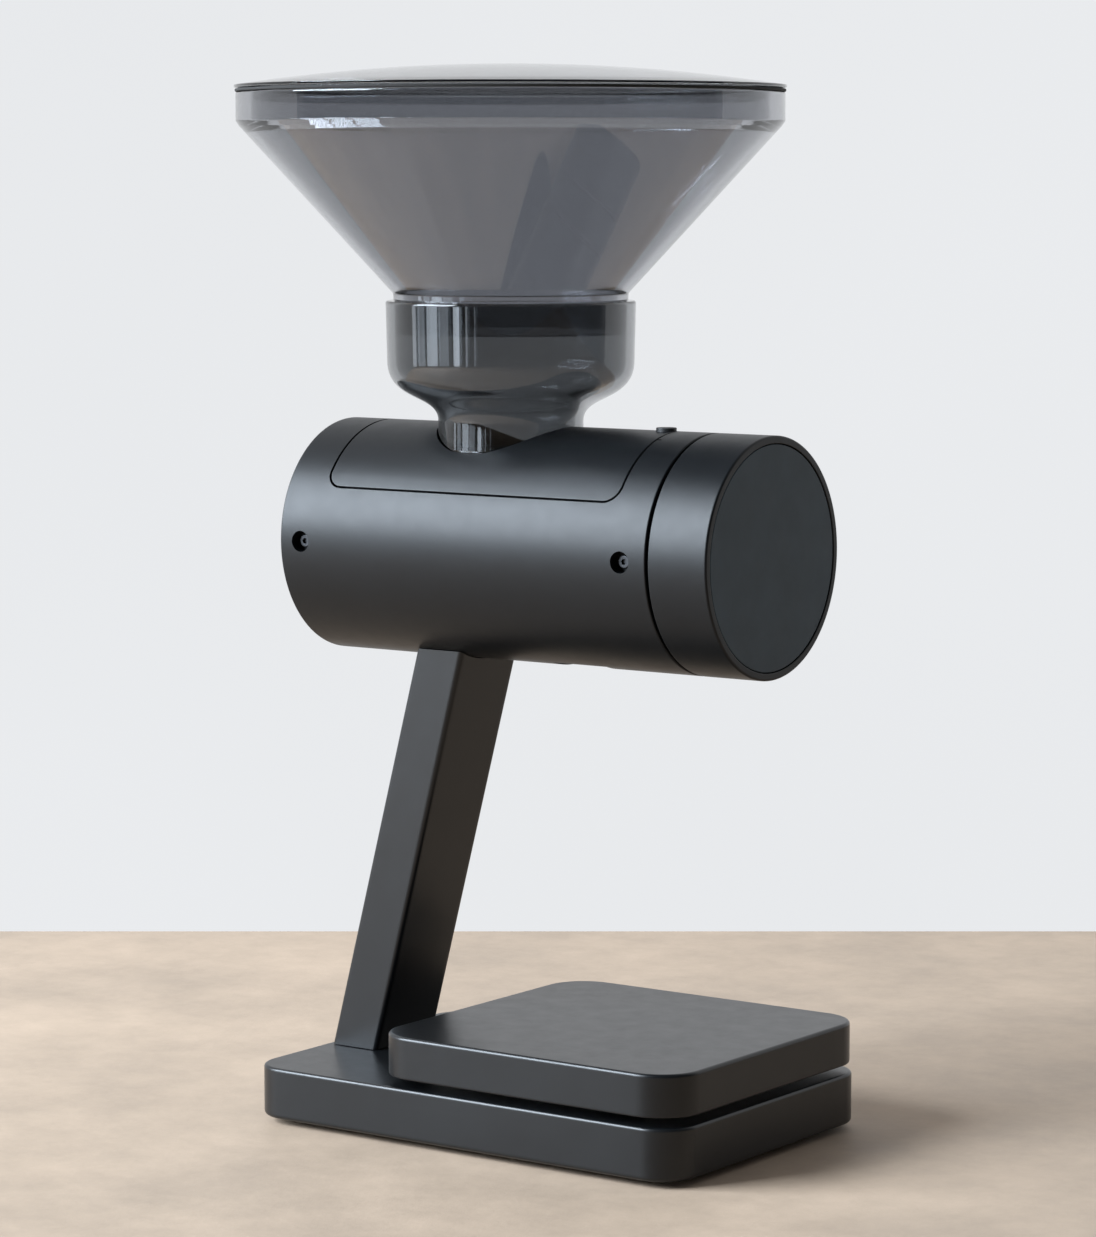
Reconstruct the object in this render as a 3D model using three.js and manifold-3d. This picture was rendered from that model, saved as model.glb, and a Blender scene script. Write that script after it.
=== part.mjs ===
// Pedestal coffee grinder: a horizontal motor and flat burr body on a leaning post, a weighing
// platform on the base, and a wide funnel hopper with a collar and a domed lid on top.
// Millimetres, +Z up, +X towards the grind dial. The grinder stands on z = 0.

import * as THREE from 'three';
import { mergeVertices } from 'three/addons/utils/BufferGeometryUtils.js';
import Module from 'manifold-3d';

const wasm = await Module();
wasm.setup();

// ---------------------------------------------------------------- driving dimensions

const GAP = 0.3; // clearance between pieces that seat on or in each other
const RUN = 0.5; // clearance round pieces that turn
const OVERCUT = 1; // how far a cutting shape runs past the face it opens

// Base and weighing platform
const BASE_BACK = -73.1; // x of the base's rear face, from the hopper's axis
const BASE_LENGTH = 186.9;
const BASE_WIDTH = 126;
const BASE_HEIGHT = 18.8;
const BASE_CORNER = 14;
const BASE_WALL = 3.5;
const FOOT = { height: 2.4, radius: 9, bevel: 0.8, stem: 3, inset: 26 };
const PLATE_THICKNESS = 2.5;
const PLATE_SCREW = { head: 3.4, headHeight: 1.6, shank: 1.5, length: 9, boss: 4.6, inset: 12 };
const PLATFORM_BACK_INSET = 56.6; // from the base's rear face to the platform's
const PLATFORM_HEIGHT = 15.3;
const PLATFORM_CORNER = 16;
const PLATFORM_WALL = 3.5;
const PLATFORM_SLOT = 3.3; // height of the dark slot between base and platform
const LOAD_CELL = { length: 76, width: 12, height: 7, lift: 1.5, seat: 16, hole: 2.4, holeSpread: 7 };
const SPIDER = { margin: 13.5, arm: 14, thickness: 3, stem: 8, stemSpace: 2, stemInset: 11 };
const SCALE_BOARD = { back: 24, length: 48, side: 16, width: 34, thickness: 1.6 };
const BOARD_POST = { margin: 4, radius: 2.5, height: 3 };
const INLET = { y: -32, length: 13, width: 13, height: 11.4, socket: 4.2, socketDepth: 10, pin: 1 };

// Post
const POST_FOOT_BACK = 3; // from the base's rear face to the post's, on top of the base
const POST_LENGTH = 20.6; // along x, on a level cut
const POST_WIDTH = 35.5;
const POST_LEAN = 0.266; // x gained for each unit of height
const POST_CHANNEL = { length: 9, width: 12 };
const POST_SCREW = { head: 4, headHeight: 3, shank: 2.2, length: 16, spread: 12.4, tipSpace: 1.5 };

// Body
const BODY_AXIS_HEIGHT = 212.2;
const BODY_RADIUS = 42.75;
const SHELL_WALL = 6.2;
const CAP_THICKNESS = 3;
const CAP_RECESS = 0.4;
const COVER_BACK_MARGIN = 17.8; // of plain shell behind the cover
const COVER_FRONT_MARGIN = 15.3; // of plain shell ahead of it
const COVER_HALF_ANGLE = THREE.MathUtils.degToRad(61.5); // from straight up to its long edges
const COVER_CORNER = 6;
const COVER_THICKNESS = 3;
const COVER_SEAM = 0.8;
const COVER_LEDGE = 3;
const FRAME_SCREW = { head: 2.3, headHeight: 1.5, shank: 1.4, length: 10 };
const FRAME_SCREW_WELL = { radius: 3.85, depth: 4.6 };
const FRAME_SCREW_INSET = { back: 9.2, front: 10.6 }; // from the shell's ends
const CHUTE = { length: 22.7, width: 24, wall: 1.6, recess: 2.1 };

// Buttons
const RELEASE = { radius: 3.65, proud: 1.2, inset: 4.5, bevel: 0.4, flange: 1.3 };
const RELEASE_CUP = { inner: 5.3, wall: 0.7, depth: 8.7, floor: 1.2, roof: 0.4 };
const RELEASE_SPRING = { radius: 3.9, wire: 0.4, turns: 4 };
const START = { radius: 9, proud: 1, bevel: 0.6, flange: 1.6, flangeThickness: 1, travel: 1.5 };

// Drive, along the body's axis
const SHAFT_RADIUS = 5;
const JOURNAL_RADIUS = 4;
const END_BEARING = { radius: 11, length: 5.4 };
const MIDDLE_BEARING = { radius: 13, length: 6.6 };
const REAR_BULKHEAD_LENGTH = 8.5;
const CONTROL_BOARD = { thickness: 1.2, margin: 1.25, inner: 14 };
const STATOR = { length: 12.7, teeth: 12, yoke: 5.75, slotDepth: 7 };
const WINDING = { length: 3.9, margin: 2.75, lobe: 1.2 };
const ROTOR_AIR_GAP = 0.5;
const SPRING = { radius: 7.2, wire: 0.55, turns: 3 };
const MIDDLE_BULKHEAD_LENGTH = 8.6;
const FEED = { bore: 17, endWall: 3.1, floor: 4 };
const AUGER = { hub: 8, blade: 4, turns: 1.25, tipSpace: 1.4 };
const THROAT_RADIUS = 22;
const GASKET_HEIGHT = 2.5;
const BURR_CHAMBER = { wall: 2, floor: 3 };
const BURR = { side: 2.25, inner: 17.5, thickness: 5.45, grooves: 12, groove: 1.8, entry: 2.4 };
const BURR_GAP = 0.7;
const CARRIER = { thickness: 6.3, rim: 1, hub: 9, hubLength: 5, vane: 3, space: 4.5 };
const CHAMBER_COVER_THICKNESS = 3;
const PLUNGER = { space: 4.7, reach: 8, bodyLength: 25.5, body: 13.7, nose: 10, key: 2.2, end: 1.7 };
const FRONT_BULKHEAD_LENGTH = 12;
const FRONT_SPACE = 3.5; // from the front bulkhead to the shell's front edge
const JOURNAL_INSET = 9.25; // from the core's outside to the dial's journal
const RETAINER = { thickness: 2, lap: 2.6, space: 1.5 };

// Grind dial
const DIAL = { groove: 1.6, length: 23.4, rim: 3, skirt: 3.9, bevel: 0.5, hub: 4.2, web: 3.7, hubSpace: 2 };
const FACE = { recess: 0.2, thickness: 2.6, bevel: 0.3 };

// Hopper; heights above the top of the body
const NECK_RADIUS = 26.3;
const NECK_SPACE = 0.6;
const NECK_DEPTH = 9;
const FLARE = { start: 1.4, end: 23.1, lower: 9.6, upper: 15, steps: 5 };
const COLLAR = { radius: 45.2, taper: 0.5, top: 44.7, wall: 3.1, bevel: 0.4 };
const CONE_FOOT = { height: 2.5, step: 2.3, inset: 0.55, bevel: 0.3 };
const CONE_SLOPE = 0.914; // radius gained for each unit of height
const CONE_WALL = 4.06; // measured level
const SPIGOT = { depth: 12, wall: 3 };
const RIM = { radius: 98.5, height: 10.6, wall: 5.6 };
const SHOULDER = { width: 1.35, height: 1.5, round: 0.3, roundHeight: 1.4 }; // between cone and rim
const LID = { radius: 99, edge: 1.1, rise: 7.6, thickness: 2.4, plugDepth: 4.5, plugWall: 2.4 };
const SEAL = { height: 1, width: 5, proud: 0.2 };

// ---------------------------------------------------------------- derived places

const BASE_FRONT = BASE_BACK + BASE_LENGTH;
const BASE_MIDDLE = BASE_BACK + BASE_LENGTH / 2;
const BASE_TOP = FOOT.height + BASE_HEIGHT;
const BASE_ROOF = BASE_TOP - BASE_WALL;
const PLATE_TOP = FOOT.height + PLATE_THICKNESS;
const PLATFORM_LENGTH = BASE_LENGTH - PLATFORM_BACK_INSET;
const PLATFORM_MIDDLE = BASE_FRONT - PLATFORM_LENGTH / 2;
const PLATFORM_BOTTOM = BASE_TOP + PLATFORM_SLOT;
const PLATFORM_ROOF = PLATFORM_BOTTOM + PLATFORM_HEIGHT - PLATFORM_WALL;
const BODY_BOTTOM = BODY_AXIS_HEIGHT - BODY_RADIUS;
const BODY_TOP = BODY_AXIS_HEIGHT + BODY_RADIUS;
const POST_MIDDLE = BASE_BACK + POST_FOOT_BACK + POST_LENGTH / 2; // at the base's top
const POST_HEAD_X = POST_MIDDLE + (BODY_BOTTOM - BASE_TOP) * POST_LEAN;

const SHELL_INNER = BODY_RADIUS - SHELL_WALL;
const CORE_RADIUS = SHELL_INNER - GAP; // outside of everything that slides into the shell
const CHAMBER_INNER = CORE_RADIUS - BURR_CHAMBER.wall;
const BURR_OUTER = CHAMBER_INNER - BURR.side;
const CARRIER_OUTER = BURR_OUTER + CARRIER.rim;
const STATOR_INNER = CORE_RADIUS - STATOR.yoke - STATOR.slotDepth;
const DIAL_JOURNAL_RADIUS = CORE_RADIUS - JOURNAL_INSET;
const RETAINER_RADIUS = DIAL_JOURNAL_RADIUS + RETAINER.lap;
const SHAFT_BORE = SHAFT_RADIUS + GAP;
const JOURNAL_BORE = JOURNAL_RADIUS + GAP;
const NECK_HOLE_RADIUS = NECK_RADIUS + NECK_SPACE;
const NECK_SEAT = BODY_RADIUS - NECK_DEPTH - GASKET_HEIGHT - 2 * GAP; // above the body's axis
const RELEASE_CUP_SPACE = RELEASE_CUP.inner + RELEASE_CUP.wall + RUN;

// The stack along the axis, from the throat backwards
const FEED_BACK = -NECK_HOLE_RADIUS - FEED.endWall;
const MIDDLE_BULKHEAD_BACK = FEED_BACK - GAP - MIDDLE_BULKHEAD_LENGTH;
const STATOR_BACK = MIDDLE_BULKHEAD_BACK - 2 * GAP - STATOR.length;
const WINDING_BACK = STATOR_BACK - GAP - WINDING.length;
const CONTROL_BOARD_BACK = WINDING_BACK - GAP - CONTROL_BOARD.thickness;
const REAR_BULKHEAD_FRONT = CONTROL_BOARD_BACK - GAP;
const REAR_BULKHEAD_BACK = REAR_BULKHEAD_FRONT - REAR_BULKHEAD_LENGTH;
const CAP_FRONT = REAR_BULKHEAD_BACK - START.travel - START.flangeThickness - GAP;
const BODY_BACK = CAP_FRONT - CAP_THICKNESS - CAP_RECESS;

// The stack along the axis, from the throat forwards
const BURR_CHAMBER_BACK = NECK_HOLE_RADIUS + FEED.endWall;
const STATIONARY_BURR_BACK = BURR_CHAMBER_BACK + BURR_CHAMBER.floor + GAP;
const BURR_MIDDLE = STATIONARY_BURR_BACK + BURR.thickness + BURR_GAP / 2;
const ROTATING_BURR_BACK = BURR_MIDDLE + BURR_GAP / 2;
const CARRIER_BACK = ROTATING_BURR_BACK + BURR.thickness + GAP;
const CARRIER_DISC_FRONT = CARRIER_BACK + CARRIER.thickness;
const BURR_CHAMBER_FRONT = CARRIER_DISC_FRONT + CARRIER.space;
const CHAMBER_COVER_FRONT = BURR_CHAMBER_FRONT + GAP + CHAMBER_COVER_THICKNESS;
const PLUNGER_BACK = CHAMBER_COVER_FRONT + PLUNGER.space;
const PLUNGER_SHOULDER = PLUNGER_BACK + PLUNGER.bodyLength;
const FRONT_BULKHEAD_BACK = PLUNGER_BACK + PLUNGER.reach;
const FRONT_BULKHEAD_FRONT = FRONT_BULKHEAD_BACK + FRONT_BULKHEAD_LENGTH;
const SHELL_FRONT = FRONT_BULKHEAD_FRONT + FRONT_SPACE;
const DIAL_BACK = SHELL_FRONT + DIAL.groove;
const DIAL_FRONT = DIAL_BACK + DIAL.length;
const DIAL_FLOOR = DIAL_FRONT - FACE.recess - FACE.thickness - GAP;
const DIAL_WEB = DIAL_FLOOR - DIAL.web; // the inside of the dial's front wall
const RETAINER_BACK = DIAL_WEB - 2 * GAP - RETAINER.thickness - RETAINER.space;
const DIAL_JOURNAL_FRONT = RETAINER_BACK - GAP;
const DIAL_HUB_INNER = PLUNGER.nose + GAP;
const DIAL_HUB_OUTER = DIAL_HUB_INNER + DIAL.hub;

const COVER_BACK = BODY_BACK + COVER_BACK_MARGIN;
const COVER_FRONT = SHELL_FRONT - COVER_FRONT_MARGIN;
const COVER_UNDERSIDE = BODY_RADIUS - COVER_THICKNESS;
const RELEASE_X = COVER_FRONT - RELEASE.inset;
const REAR_FRAME_SCREW = BODY_BACK + FRAME_SCREW_INSET.back;
const FRONT_FRAME_SCREW = SHELL_FRONT - FRAME_SCREW_INSET.front;
const FRAME_SCREW_X = [REAR_FRAME_SCREW, FRONT_FRAME_SCREW];

const CONE_BASE = COLLAR.top + GAP + CONE_FOOT.height;
const CONE_RADIUS = COLLAR.radius - CONE_FOOT.step;
const CONE_TOP_RADIUS = RIM.radius - SHOULDER.width;
const CONE_TOP = CONE_BASE + (CONE_TOP_RADIUS - CONE_RADIUS) / CONE_SLOPE;
const RIM_FOOT = CONE_TOP + SHOULDER.height;
const RIM_TOP = RIM_FOOT + RIM.height;
const RIM_INNER = RIM.radius - RIM.wall;
const LID_BOTTOM = RIM_TOP + SEAL.height + 2 * GAP;

// ---------------------------------------------------------------- materials

function finish(color, roughness, metalness) {
  return new THREE.MeshStandardMaterial({ color, roughness, metalness });
}

const FINISH = {
  anodised: finish(0x2d3033, 0.38, 0.9),
  dialFace: finish(0x36393c, 0.55, 0.6),
  smoke: new THREE.MeshStandardMaterial({
    color: 0x4a4d52,
    roughness: 0.08,
    metalness: 0,
    transparent: true,
    opacity: 0.6,
  }),
  rubber: finish(0x141414, 0.85, 0),
  blackPlastic: finish(0x17181a, 0.5, 0),
  steel: finish(0x8d9094, 0.32, 1),
  darkSteel: finish(0x24262a, 0.4, 0.9),
  castAlloy: finish(0x9a9da1, 0.45, 0.85),
  copper: finish(0x9c5a32, 0.35, 0.9),
  board: finish(0x1f4a33, 0.6, 0),
};

// ---------------------------------------------------------------- geometry helpers

// A closed three.js geometry as a solid, with shared corners joined and zero-area faces dropped.
function solidOf(geometry) {
  geometry.deleteAttribute('normal');
  geometry.deleteAttribute('uv');
  const joined = mergeVertices(geometry, 1e-3);
  const corners = joined.index.array;
  const kept = [];
  for (let i = 0; i < corners.length; i += 3) {
    const [a, b, c] = corners.slice(i, i + 3);
    if (a !== b && b !== c && c !== a) kept.push(a, b, c);
  }
  const vertProperties = joined.attributes.position.array;
  const triVerts = new Uint32Array(kept);
  return new wasm.Manifold(new wasm.Mesh({ numProp: 3, vertProperties, triVerts }));
}

// The profile's points, ordered so that the turned solid's faces point outwards.
function outwardLoop(points) {
  const loop = points.map(([radius, height]) => new THREE.Vector2(radius, height));
  if (THREE.ShapeUtils.area(loop) > 0) loop.reverse();
  loop.reverse();
  loop.push(loop[0].clone());
  return loop;
}

// A closed (radius, height) profile turned about +Z.
function turnedZ(points, segments = 32) {
  return solidOf(new THREE.LatheGeometry(outwardLoop(points), segments).rotateX(Math.PI / 2));
}

// A closed (radius, x) profile turned about +X.
function turnedX(points, segments = 32) {
  return solidOf(new THREE.LatheGeometry(outwardLoop(points), segments).rotateZ(-Math.PI / 2));
}

function ringPoints(inner, outer, from, to) {
  return [[inner, from], [outer, from], [outer, to], [inner, to]];
}

function ringX(inner, outer, from, to, segments = 32) {
  return turnedX(ringPoints(inner, outer, from, to), segments);
}

function rodX(radius, from, to, segments = 20) {
  return ringX(0, radius, from, to, segments);
}

function rodZ(radius, from, to, x = 0, y = 0, segments = 12) {
  return turnedZ(ringPoints(0, radius, from, to), segments).translate([x, y, 0]);
}

function box(from, to) {
  const size = new THREE.Vector3().subVectors(to, from);
  const geometry = new THREE.BoxGeometry(size.x, size.y, size.z);
  geometry.translate(from.x + size.x / 2, from.y + size.y / 2, from.z + size.z / 2);
  return solidOf(geometry);
}

function at(x, y, z) {
  return new THREE.Vector3(x, y, z);
}

// A flat shape pushed up from z = from to z = to.
function raised(shape, from, to, curveSegments = 3) {
  const options = { depth: to - from, bevelEnabled: false, curveSegments };
  return solidOf(new THREE.ExtrudeGeometry(shape, options).translate(0, 0, from));
}

// A flat (y, z) shape pushed along x from x = from to x = to.
function pushedX(shape, from, to, curveSegments) {
  const options = { depth: to - from, bevelEnabled: false, curveSegments };
  const geometry = new THREE.ExtrudeGeometry(shape, options);
  geometry.rotateX(Math.PI / 2).rotateZ(Math.PI / 2);
  return solidOf(geometry.translate(from, 0, 0));
}

function roundedRectangle(middle, length, width, corner) {
  const shape = new THREE.Shape();
  const back = middle - length / 2 + corner;
  const front = middle + length / 2 - corner;
  const side = width / 2 - corner;
  shape.absarc(front, side, corner, 0, Math.PI / 2);
  shape.absarc(back, side, corner, Math.PI / 2, Math.PI);
  shape.absarc(back, -side, corner, Math.PI, 1.5 * Math.PI);
  shape.absarc(front, -side, corner, 1.5 * Math.PI, 2 * Math.PI);
  return shape;
}

// A coil of round wire about +X, from x = from to x = to.
function coilX({ radius, wire, turns }, from, to, stepsPerTurn = 12) {
  class Helix extends THREE.Curve {
    getPoint(t, target = new THREE.Vector3()) {
      const angle = 2 * Math.PI * turns * t;
      const x = from + wire + (to - from - 2 * wire) * t;
      return target.set(x, radius * Math.cos(angle), radius * Math.sin(angle));
    }
  }
  const section = new THREE.Shape().absarc(0, 0, wire, 0, 2 * Math.PI);
  const steps = Math.round(turns * stepsPerTurn);
  const options = { extrudePath: new Helix(), steps, curveSegments: 3, bevelEnabled: false };
  return solidOf(new THREE.ExtrudeGeometry(section, options));
}

// A hexagon socket, open at z = top.
function hexSocket(acrossCorners, depth, top) {
  return rodZ(acrossCorners / 2, top - depth, top + OVERCUT, 0, 0, 6);
}

// A cap screw along z: head from 0 up, shank from 0 down, with a hexagon socket in its head.
function capScrew({ head, headHeight, shank, length }) {
  const profile = [[0, -length], [shank, -length], [shank, 0], [head, 0], [head, headHeight], [0, headHeight]];
  const socket = hexSocket(head * 0.95, headHeight * 0.6, headHeight);
  return turnedZ(profile, 10).subtract(socket);
}

// ---------------------------------------------------------------- the assembly tree

const machine = new THREE.Group();
const body = new THREE.Group();
const hopper = new THREE.Group();
body.position.z = BODY_AXIS_HEIGHT;
hopper.position.z = BODY_TOP;
machine.add(body, hopper);

function addPart(parent, name, solid, material) {
  const { vertProperties, triVerts } = solid.getMesh();
  const geometry = new THREE.BufferGeometry();
  geometry.setAttribute('position', new THREE.BufferAttribute(vertProperties, 3));
  geometry.setIndex(new THREE.BufferAttribute(triVerts, 1));
  geometry.computeVertexNormals();
  const part = new THREE.Mesh(geometry, material);
  part.name = name;
  parent.add(part);
  return part;
}

// ---------------------------------------------------------------- base

const plateScrews = cornersInset(PLATE_SCREW.inset);
const feet = cornersInset(FOOT.inset);
const postFootScrewX = POST_MIDDLE + POST_LEAN * POST_SCREW.length / 2;
const loadCellBack = PLATFORM_MIDDLE - LOAD_CELL.length + SPIDER.stemInset;
const loadCellBottom = PLATE_TOP + LOAD_CELL.lift;
const loadCellTop = loadCellBottom + LOAD_CELL.height;
const scaleBoardBack = BASE_BACK + SCALE_BOARD.back;
const scaleBoardBottom = PLATE_TOP + BOARD_POST.height + GAP;

function cornersInset(inset) {
  const xs = [BASE_BACK + inset, BASE_FRONT - inset];
  const ys = [-BASE_WIDTH / 2 + inset, BASE_WIDTH / 2 - inset];
  return xs.flatMap((x) => ys.map((y) => ({ x, y })));
}

function inletSpace(clearance) {
  const half = INLET.width / 2 + clearance;
  const back = BASE_BACK - (clearance > 0 ? OVERCUT : 0);
  const front = BASE_BACK + INLET.length + clearance;
  const bottom = PLATE_TOP + GAP - clearance;
  const top = bottom + INLET.height + 2 * clearance;
  return box(at(back, INLET.y - half, bottom), at(front, INLET.y + half, top));
}

function addBase() {
  const outside = roundedRectangle(BASE_MIDDLE, BASE_LENGTH, BASE_WIDTH, BASE_CORNER);
  const insideLength = BASE_LENGTH - 2 * BASE_WALL;
  const insideWidth = BASE_WIDTH - 2 * BASE_WALL;
  const inside = roundedRectangle(BASE_MIDDLE, insideLength, insideWidth, BASE_CORNER - BASE_WALL);
  const roofHole = (radius, x, y) => rodZ(radius, BASE_ROOF - OVERCUT, BASE_TOP + OVERCUT, x, y);
  let housing = raised(outside, FOOT.height, BASE_TOP);
  housing = housing.subtract(raised(inside, FOOT.height - OVERCUT, BASE_ROOF));
  for (const { x, y } of plateScrews) {
    housing = housing.add(rodZ(PLATE_SCREW.boss, PLATE_TOP + GAP, BASE_ROOF + OVERCUT, x, y));
    housing = housing.subtract(rodZ(PLATE_SCREW.shank + GAP, PLATE_TOP, BASE_ROOF - OVERCUT, x, y));
  }
  for (const side of [-1, 1]) {
    const y = side * POST_SCREW.spread;
    housing = housing.subtract(roofHole(POST_SCREW.shank + GAP, postFootScrewX, y));
  }
  housing = housing.subtract(roofHole(SPIDER.stem + SPIDER.stemSpace, PLATFORM_MIDDLE, 0));
  housing = housing.subtract(inletSpace(GAP));
  addPart(machine, 'base_housing', housing, FINISH.anodised);
}

function addBottomPlate() {
  const shrink = 2 * (BASE_WALL + GAP);
  const corner = BASE_CORNER - BASE_WALL - GAP;
  const outline = roundedRectangle(BASE_MIDDLE, BASE_LENGTH - shrink, BASE_WIDTH - shrink, corner);
  let plate = raised(outline, FOOT.height, PLATE_TOP);
  const below = FOOT.height - OVERCUT;
  for (const { x, y } of plateScrews) {
    plate = plate.subtract(rodZ(PLATE_SCREW.shank + GAP, below, PLATE_TOP + OVERCUT, x, y));
    plate = plate.subtract(rodZ(PLATE_SCREW.head + GAP, below, FOOT.height + PLATE_SCREW.headHeight, x, y));
  }
  for (const { x, y } of feet) {
    plate = plate.subtract(rodZ(FOOT.stem + GAP, below, PLATE_TOP + OVERCUT, x, y));
  }
  const half = LOAD_CELL.width / 2;
  const seatFrom = at(loadCellBack, -half, PLATE_TOP - OVERCUT);
  plate = plate.add(box(seatFrom, at(loadCellBack + LOAD_CELL.seat, half, loadCellBottom - GAP)));
  for (const [x, y] of scaleBoardPosts()) {
    plate = plate.add(rodZ(BOARD_POST.radius, PLATE_TOP - OVERCUT, scaleBoardBottom - GAP, x, y, 12));
  }
  addPart(machine, 'base_bottom_plate', plate, FINISH.blackPlastic);
}

function addFeetAndPlateScrews() {
  const stemTop = PLATE_TOP - RUN;
  const top = FOOT.height - GAP;
  const profile = [[0, 0], [FOOT.radius - FOOT.bevel, 0], [FOOT.radius, FOOT.bevel], [FOOT.radius, top],
    [FOOT.stem, top], [FOOT.stem, stemTop], [0, stemTop]];
  feet.forEach(({ x, y }, i) => {
    const foot = addPart(machine, `foot_${i + 1}`, turnedZ(profile, 16), FINISH.rubber);
    foot.position.set(x, y, 0);
  });
  plateScrews.forEach(({ x, y }, i) => {
    const screw = addPart(machine, `base_plate_screw_${i + 1}`, capScrew(PLATE_SCREW), FINISH.darkSteel);
    screw.rotation.x = Math.PI;
    screw.position.set(x, y, FOOT.height + PLATE_SCREW.headHeight - GAP);
  });
}

function scaleBoardPosts() {
  const { length, side, width } = SCALE_BOARD;
  const { margin } = BOARD_POST;
  const xs = [scaleBoardBack + margin, scaleBoardBack + length - margin];
  const ys = [side + margin, side + width - margin];
  return xs.flatMap((x) => ys.map((y) => [x, y]));
}

function addScale() {
  const half = LOAD_CELL.width / 2;
  const cellFrom = at(loadCellBack, -half, loadCellBottom);
  let cell = box(cellFrom, at(loadCellBack + LOAD_CELL.length, half, loadCellTop));
  const windowMiddle = loadCellBack + LOAD_CELL.length / 2;
  for (const offset of [-LOAD_CELL.holeSpread, LOAD_CELL.holeSpread]) {
    const hole = rodZ(LOAD_CELL.hole, -half - OVERCUT, half + OVERCUT).rotate([90, 0, 0]);
    cell = cell.subtract(hole.translate([windowMiddle + offset, 0, loadCellBottom + LOAD_CELL.height / 2]));
  }
  addPart(machine, 'load_cell', cell, FINISH.castAlloy);

  const spiderTop = PLATFORM_ROOF - GAP;
  const spiderBottom = spiderTop - SPIDER.thickness;
  const armLength = PLATFORM_LENGTH / 2 - PLATFORM_WALL - SPIDER.margin;
  const armWidth = BASE_WIDTH / 2 - PLATFORM_WALL - SPIDER.margin;
  const arm = (x, y) => box(at(PLATFORM_MIDDLE - x, -y, spiderBottom), at(PLATFORM_MIDDLE + x, y, spiderTop));
  const cross = arm(armLength, SPIDER.arm / 2).add(arm(SPIDER.arm / 2, armWidth));
  const stem = rodZ(SPIDER.stem, loadCellTop + GAP, spiderTop - OVERCUT, PLATFORM_MIDDLE, 0);
  addPart(machine, 'platform_spider', cross.add(stem), FINISH.castAlloy);

  const { length, side, width, thickness } = SCALE_BOARD;
  const boardFrom = at(scaleBoardBack, side, scaleBoardBottom);
  const board = box(boardFrom, at(scaleBoardBack + length, side + width, scaleBoardBottom + thickness));
  addPart(machine, 'scale_board', board, FINISH.board);
}

function addPlatform() {
  const outside = roundedRectangle(PLATFORM_MIDDLE, PLATFORM_LENGTH, BASE_WIDTH, PLATFORM_CORNER);
  const shrink = 2 * PLATFORM_WALL;
  const corner = PLATFORM_CORNER - PLATFORM_WALL;
  const inside = roundedRectangle(PLATFORM_MIDDLE, PLATFORM_LENGTH - shrink, BASE_WIDTH - shrink, corner);
  const block = raised(outside, PLATFORM_BOTTOM, PLATFORM_BOTTOM + PLATFORM_HEIGHT);
  const hollow = raised(inside, PLATFORM_BOTTOM - OVERCUT, PLATFORM_ROOF);
  addPart(machine, 'weighing_platform', block.subtract(hollow), FINISH.anodised);
}

function addPowerInlet() {
  const socketMiddle = PLATE_TOP + GAP + INLET.height / 2;
  const socketEnd = BASE_BACK + INLET.socketDepth;
  const socket = rodX(INLET.socket, BASE_BACK - OVERCUT, socketEnd, 16);
  const pin = rodX(INLET.pin, BASE_BACK + INLET.socketDepth / 2, socketEnd + OVERCUT, 8);
  const place = [0, INLET.y, socketMiddle];
  const inlet = inletSpace(0).subtract(socket.translate(place)).add(pin.translate(place));
  addPart(machine, 'power_inlet', inlet, FINISH.blackPlastic);
}

// ---------------------------------------------------------------- post

// A leaning bar of level section, from one height to another.
function leaningBar(length, width, from, to) {
  const geometry = new THREE.BoxGeometry(length, width, to - from);
  geometry.translate(POST_MIDDLE, 0, (from + to) / 2);
  const shear = new THREE.Matrix4().makeShear(0, 0, 0, 0, 0, 0);
  shear.elements[8] = POST_LEAN;
  shear.elements[12] = -POST_LEAN * BASE_TOP;
  return solidOf(geometry.applyMatrix4(shear));
}

function addPost() {
  const head = BODY_AXIS_HEIGHT - BODY_RADIUS / 2;
  const channel = leaningBar(POST_CHANNEL.length, POST_CHANNEL.width, BASE_TOP - OVERCUT, head + OVERCUT);
  const bodySpace = rodX(BODY_RADIUS + GAP, BODY_BACK, SHELL_FRONT, 96).translate([0, 0, BODY_AXIS_HEIGHT]);
  let post = leaningBar(POST_LENGTH, POST_WIDTH, BASE_TOP + GAP, head).subtract(channel).subtract(bodySpace);
  const footHoleTop = BASE_ROOF + POST_SCREW.length + POST_SCREW.tipSpace;
  const headHoleBottom = BODY_BOTTOM - POST_SCREW.length - POST_SCREW.tipSpace + SHELL_WALL;
  for (const side of [-1, 1]) {
    const y = side * POST_SCREW.spread;
    post = post.subtract(rodZ(POST_SCREW.shank + GAP, BASE_TOP - OVERCUT, footHoleTop, postFootScrewX, y));
    post = post.subtract(rodZ(POST_SCREW.shank + GAP, headHoleBottom, BODY_AXIS_HEIGHT, POST_HEAD_X, y));
  }
  addPart(machine, 'post', post, FINISH.anodised);
}

function addPostScrews() {
  const headEdge = POST_SCREW.spread + POST_SCREW.head;
  const headFloor = BODY_AXIS_HEIGHT - Math.sqrt(SHELL_INNER ** 2 - headEdge ** 2) + GAP;
  [-1, 1].forEach((side, i) => {
    const y = side * POST_SCREW.spread;
    const footScrew = addPart(machine, `post_foot_screw_${i + 1}`, capScrew(POST_SCREW), FINISH.darkSteel);
    footScrew.rotation.x = Math.PI;
    footScrew.position.set(postFootScrewX, y, BASE_ROOF - GAP);
    const headScrew = addPart(machine, `post_head_screw_${i + 1}`, capScrew(POST_SCREW), FINISH.darkSteel);
    headScrew.position.set(POST_HEAD_X, y, headFloor);
  });
}

// ---------------------------------------------------------------- body shell and cover

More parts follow.
